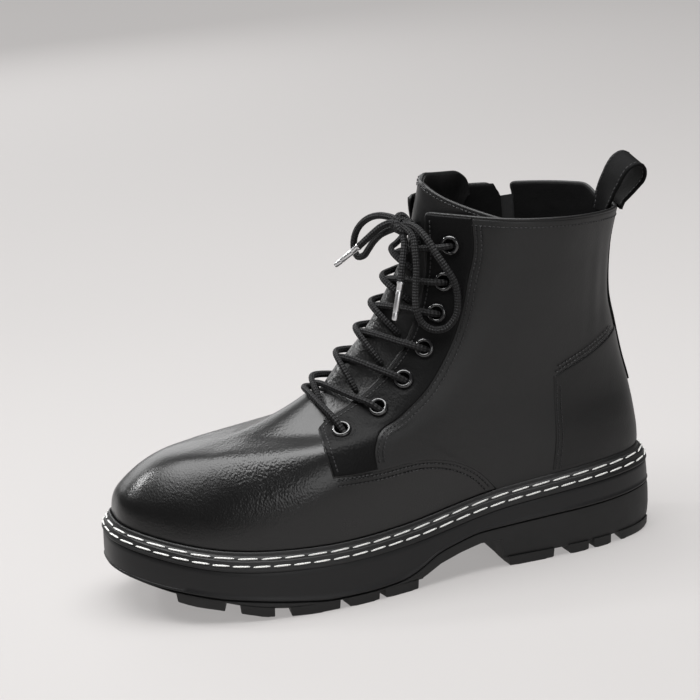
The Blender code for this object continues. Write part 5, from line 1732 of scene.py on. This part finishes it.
for side in (1.0, -1.0):
    level, angle = throat_place(np.array([station - 0.014, station + 0.010]),
                                side * np.array([start, start * 0.75]))
    low = over_skin(level, angle, np.array([-0.8, 1.1]))
    behind = KNOT + (-4.2, side * 1.8, -1.4 - 0.5 * side)
    beyond = KNOT + (-3.6, -side * 2.6, 0.4 - 0.5 * side)
    strands.append(through([*low, behind, beyond], 24))
laces = joined("lace_rows", [tube(route, LACE / 2, LACE_FACETS, LACE_FLAT) for route in strands], lace_black)
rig.replaces(laces, "lace_bar", *(f"lace_cross_{number}" for number in range(1, 7)), "lace_top")
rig.slot(laces, "lace_cord")

# ------------------------------------------------------------ bow
# Each half of the lace comes out of the knot as one loop, turns back through it and hangs as one
# free end, which a crimped metal tip closes.
LOOP_INNER = (
    (134.6, -5.6, 179.9), (138.0, -11.2, 180.0), (141.0, -16.0, 178.6), (144.0, -20.4, 175.6),
    (146.2, -23.6, 171.6), (147.6, -25.8, 166.4), (147.8, -26.6, 160.8), (146.6, -25.0, 156.6),
    (144.6, -21.6, 157.4), (143.0, -17.6, 161.4), (141.2, -13.4, 166.2), (138.4, -8.6, 170.6),
    (135.0, -4.2, 173.2),
)
LOOP_OUTER = (
    (128.3, 13.2, 177.7), (125.1, 21.8, 173.0), (121.5, 27.6, 164.3), (117.7, 30.6, 156.8),
    (114.6, 31.8, 150.1), (113.5, 32.2, 141.0), (115.6, 32.2, 132.0), (120.3, 31.2, 127.3),
    (125.8, 28.6, 126.5), (130.6, 26.0, 129.7), (133.2, 25.0, 136.6), (132.4, 22.6, 146.6),
    (130.9, 21.4, 156.7), (130.3, 19.2, 165.8), (129.8, 15.4, 173.2),
)
END_INNER = (
    (135.8, -1.6, 177.6), (139.6, -4.4, 175.6), (143.0, -7.0, 172.4), (146.4, -9.8, 168.6),
    (149.8, -12.6, 164.8),
)
END_FRONT = ((132.6, 10.0, 170.2), (134.8, 13.6, 162.8), (136.6, 15.4, 156.6), (138.2, 17.0, 150.4))
TIP_INNER = ((149.8, -12.6, 164.8), (160.6, -20.6, 154.4))
TIP_FRONT = ((138.2, 17.0, 150.4), (143.6, 19.4, 131.8))
metal = Finish("lace_tip", (0.70, 0.70, 0.71), 0.28, **{"Metallic": 1.0})
rub = metal.noise(1100.0, 4.0)
metal.wear({"Roughness": metal.spread(rub, 0.20, 0.42), "Normal": metal.bump(rub, 0.00003, 0.4)})


def cord_piece(name, points, count):
    """A free half of the lace: its tube, its centreline and its length in metres."""
    route = through(points, count)
    made = joined(name, [tube(route, LACE / 2, LACE_FACETS)], lace_black)
    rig.slot(made, "lace_cord")
    path = metres(route)
    return made, path, float(run_along(path)[-1])


def tip_piece(name, start, end, node):
    """Metal tip rolled round the lace's end, with two crimps."""
    start, along = np.array(start), Vector(end) - Vector(start)
    long = along.length
    work = bmesh.new()
    turned(work, (
        (1.86, -0.4), (1.96, 0.0), (1.92, 0.5), (1.62, 1.0), (1.58, 3.6), (1.36, 4.2), (1.56, 4.8),
        (1.50, long - 5.2), (1.30, long - 4.6), (1.48, long - 4.0), (1.40, long - 0.6), (1.15, long - 0.1),
        (0.7, long), (0.0, long)), 24, False)
    bmesh.ops.transform(work, verts=work.verts, matrix=Matrix.Translation(Vector(metres(start)))
                        @ along.to_track_quat("Z", "Y").to_matrix().to_4x4())
    made = piece(name, work, metal.material, 30.0)
    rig.replaces(made, node)
    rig.slot(made, "aglet_tip")
    return made


KNOT_WRAPS = (                         # centre, half sizes and lean of the knot's turns
    ((0.0, 0.6, 0.2), (3.4, 1.4, 4.4), 0.35), ((0.2, -2.0, -0.4), (3.2, 1.2, 3.9), -0.30),
    ((0.4, 3.0, -0.2), (3.0, 1.2, 3.6), 0.75),
)
turn = np.linspace(0.0, 2.0 * math.pi, 49)
wraps = []
for centre, (fore, across_knot, up), lean in KNOT_WRAPS:
    ring = np.stack([fore * np.cos(turn), across_knot * np.sin(2.0 * turn) * 0.4, up * np.sin(turn)],
                    axis=-1)
    spun = ring @ np.array(Matrix.Rotation(lean, 3, "X")).T
    wraps.append(tube(KNOT + np.array(centre) + spun, LACE / 2 - 0.1, LACE_FACETS))
knot = joined("bow_knot", wraps, lace_black)
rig.replaces(knot, "lace_knot")
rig.slot(knot, "lace_cord")

inner_half, inner_path, inner_long = cord_piece(
    "bow_inner", [KNOT + (-0.6, 2.2, 0.6), *LOOP_INNER, KNOT + (1.6, 2.6, -2.2), *END_FRONT], 120)
outer_half, outer_path, outer_long = cord_piece(
    "bow_outer", [KNOT + (-0.4, 4.0, 0.4), *LOOP_OUTER, KNOT + (0.8, 4.6, -0.6), *END_INNER], 150)
tip_front = tip_piece("tip_front", *TIP_FRONT, "aglet_front")
tip_inner = tip_piece("tip_inner", *TIP_INNER, "aglet_medial")
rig.replaces(inner_half, "lace_loop_medial", "lace_end_front")
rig.replaces(outer_half, "lace_loop_lateral", "lace_end_medial")
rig.cord(inner_half, exit=inner_path[0], length=inner_long, diameter=LACE * MM, far_end="fitting",
        stiffness="limp", lay="hanging", path=inner_path, with_pieces=[tip_front, knot])
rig.cord(outer_half, exit=outer_path[0], length=outer_long, diameter=LACE * MM, far_end="fitting",
        stiffness="limp", lay="hanging", path=outer_path, with_pieces=[tip_inner])

# ------------------------------------------------------------ extents written out
with open("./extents.json", "w") as size_file:
    json.dump({"cad": [list(corner) for corner in cad_box],
               "visual": [list(corner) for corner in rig.bounds()]}, size_file)
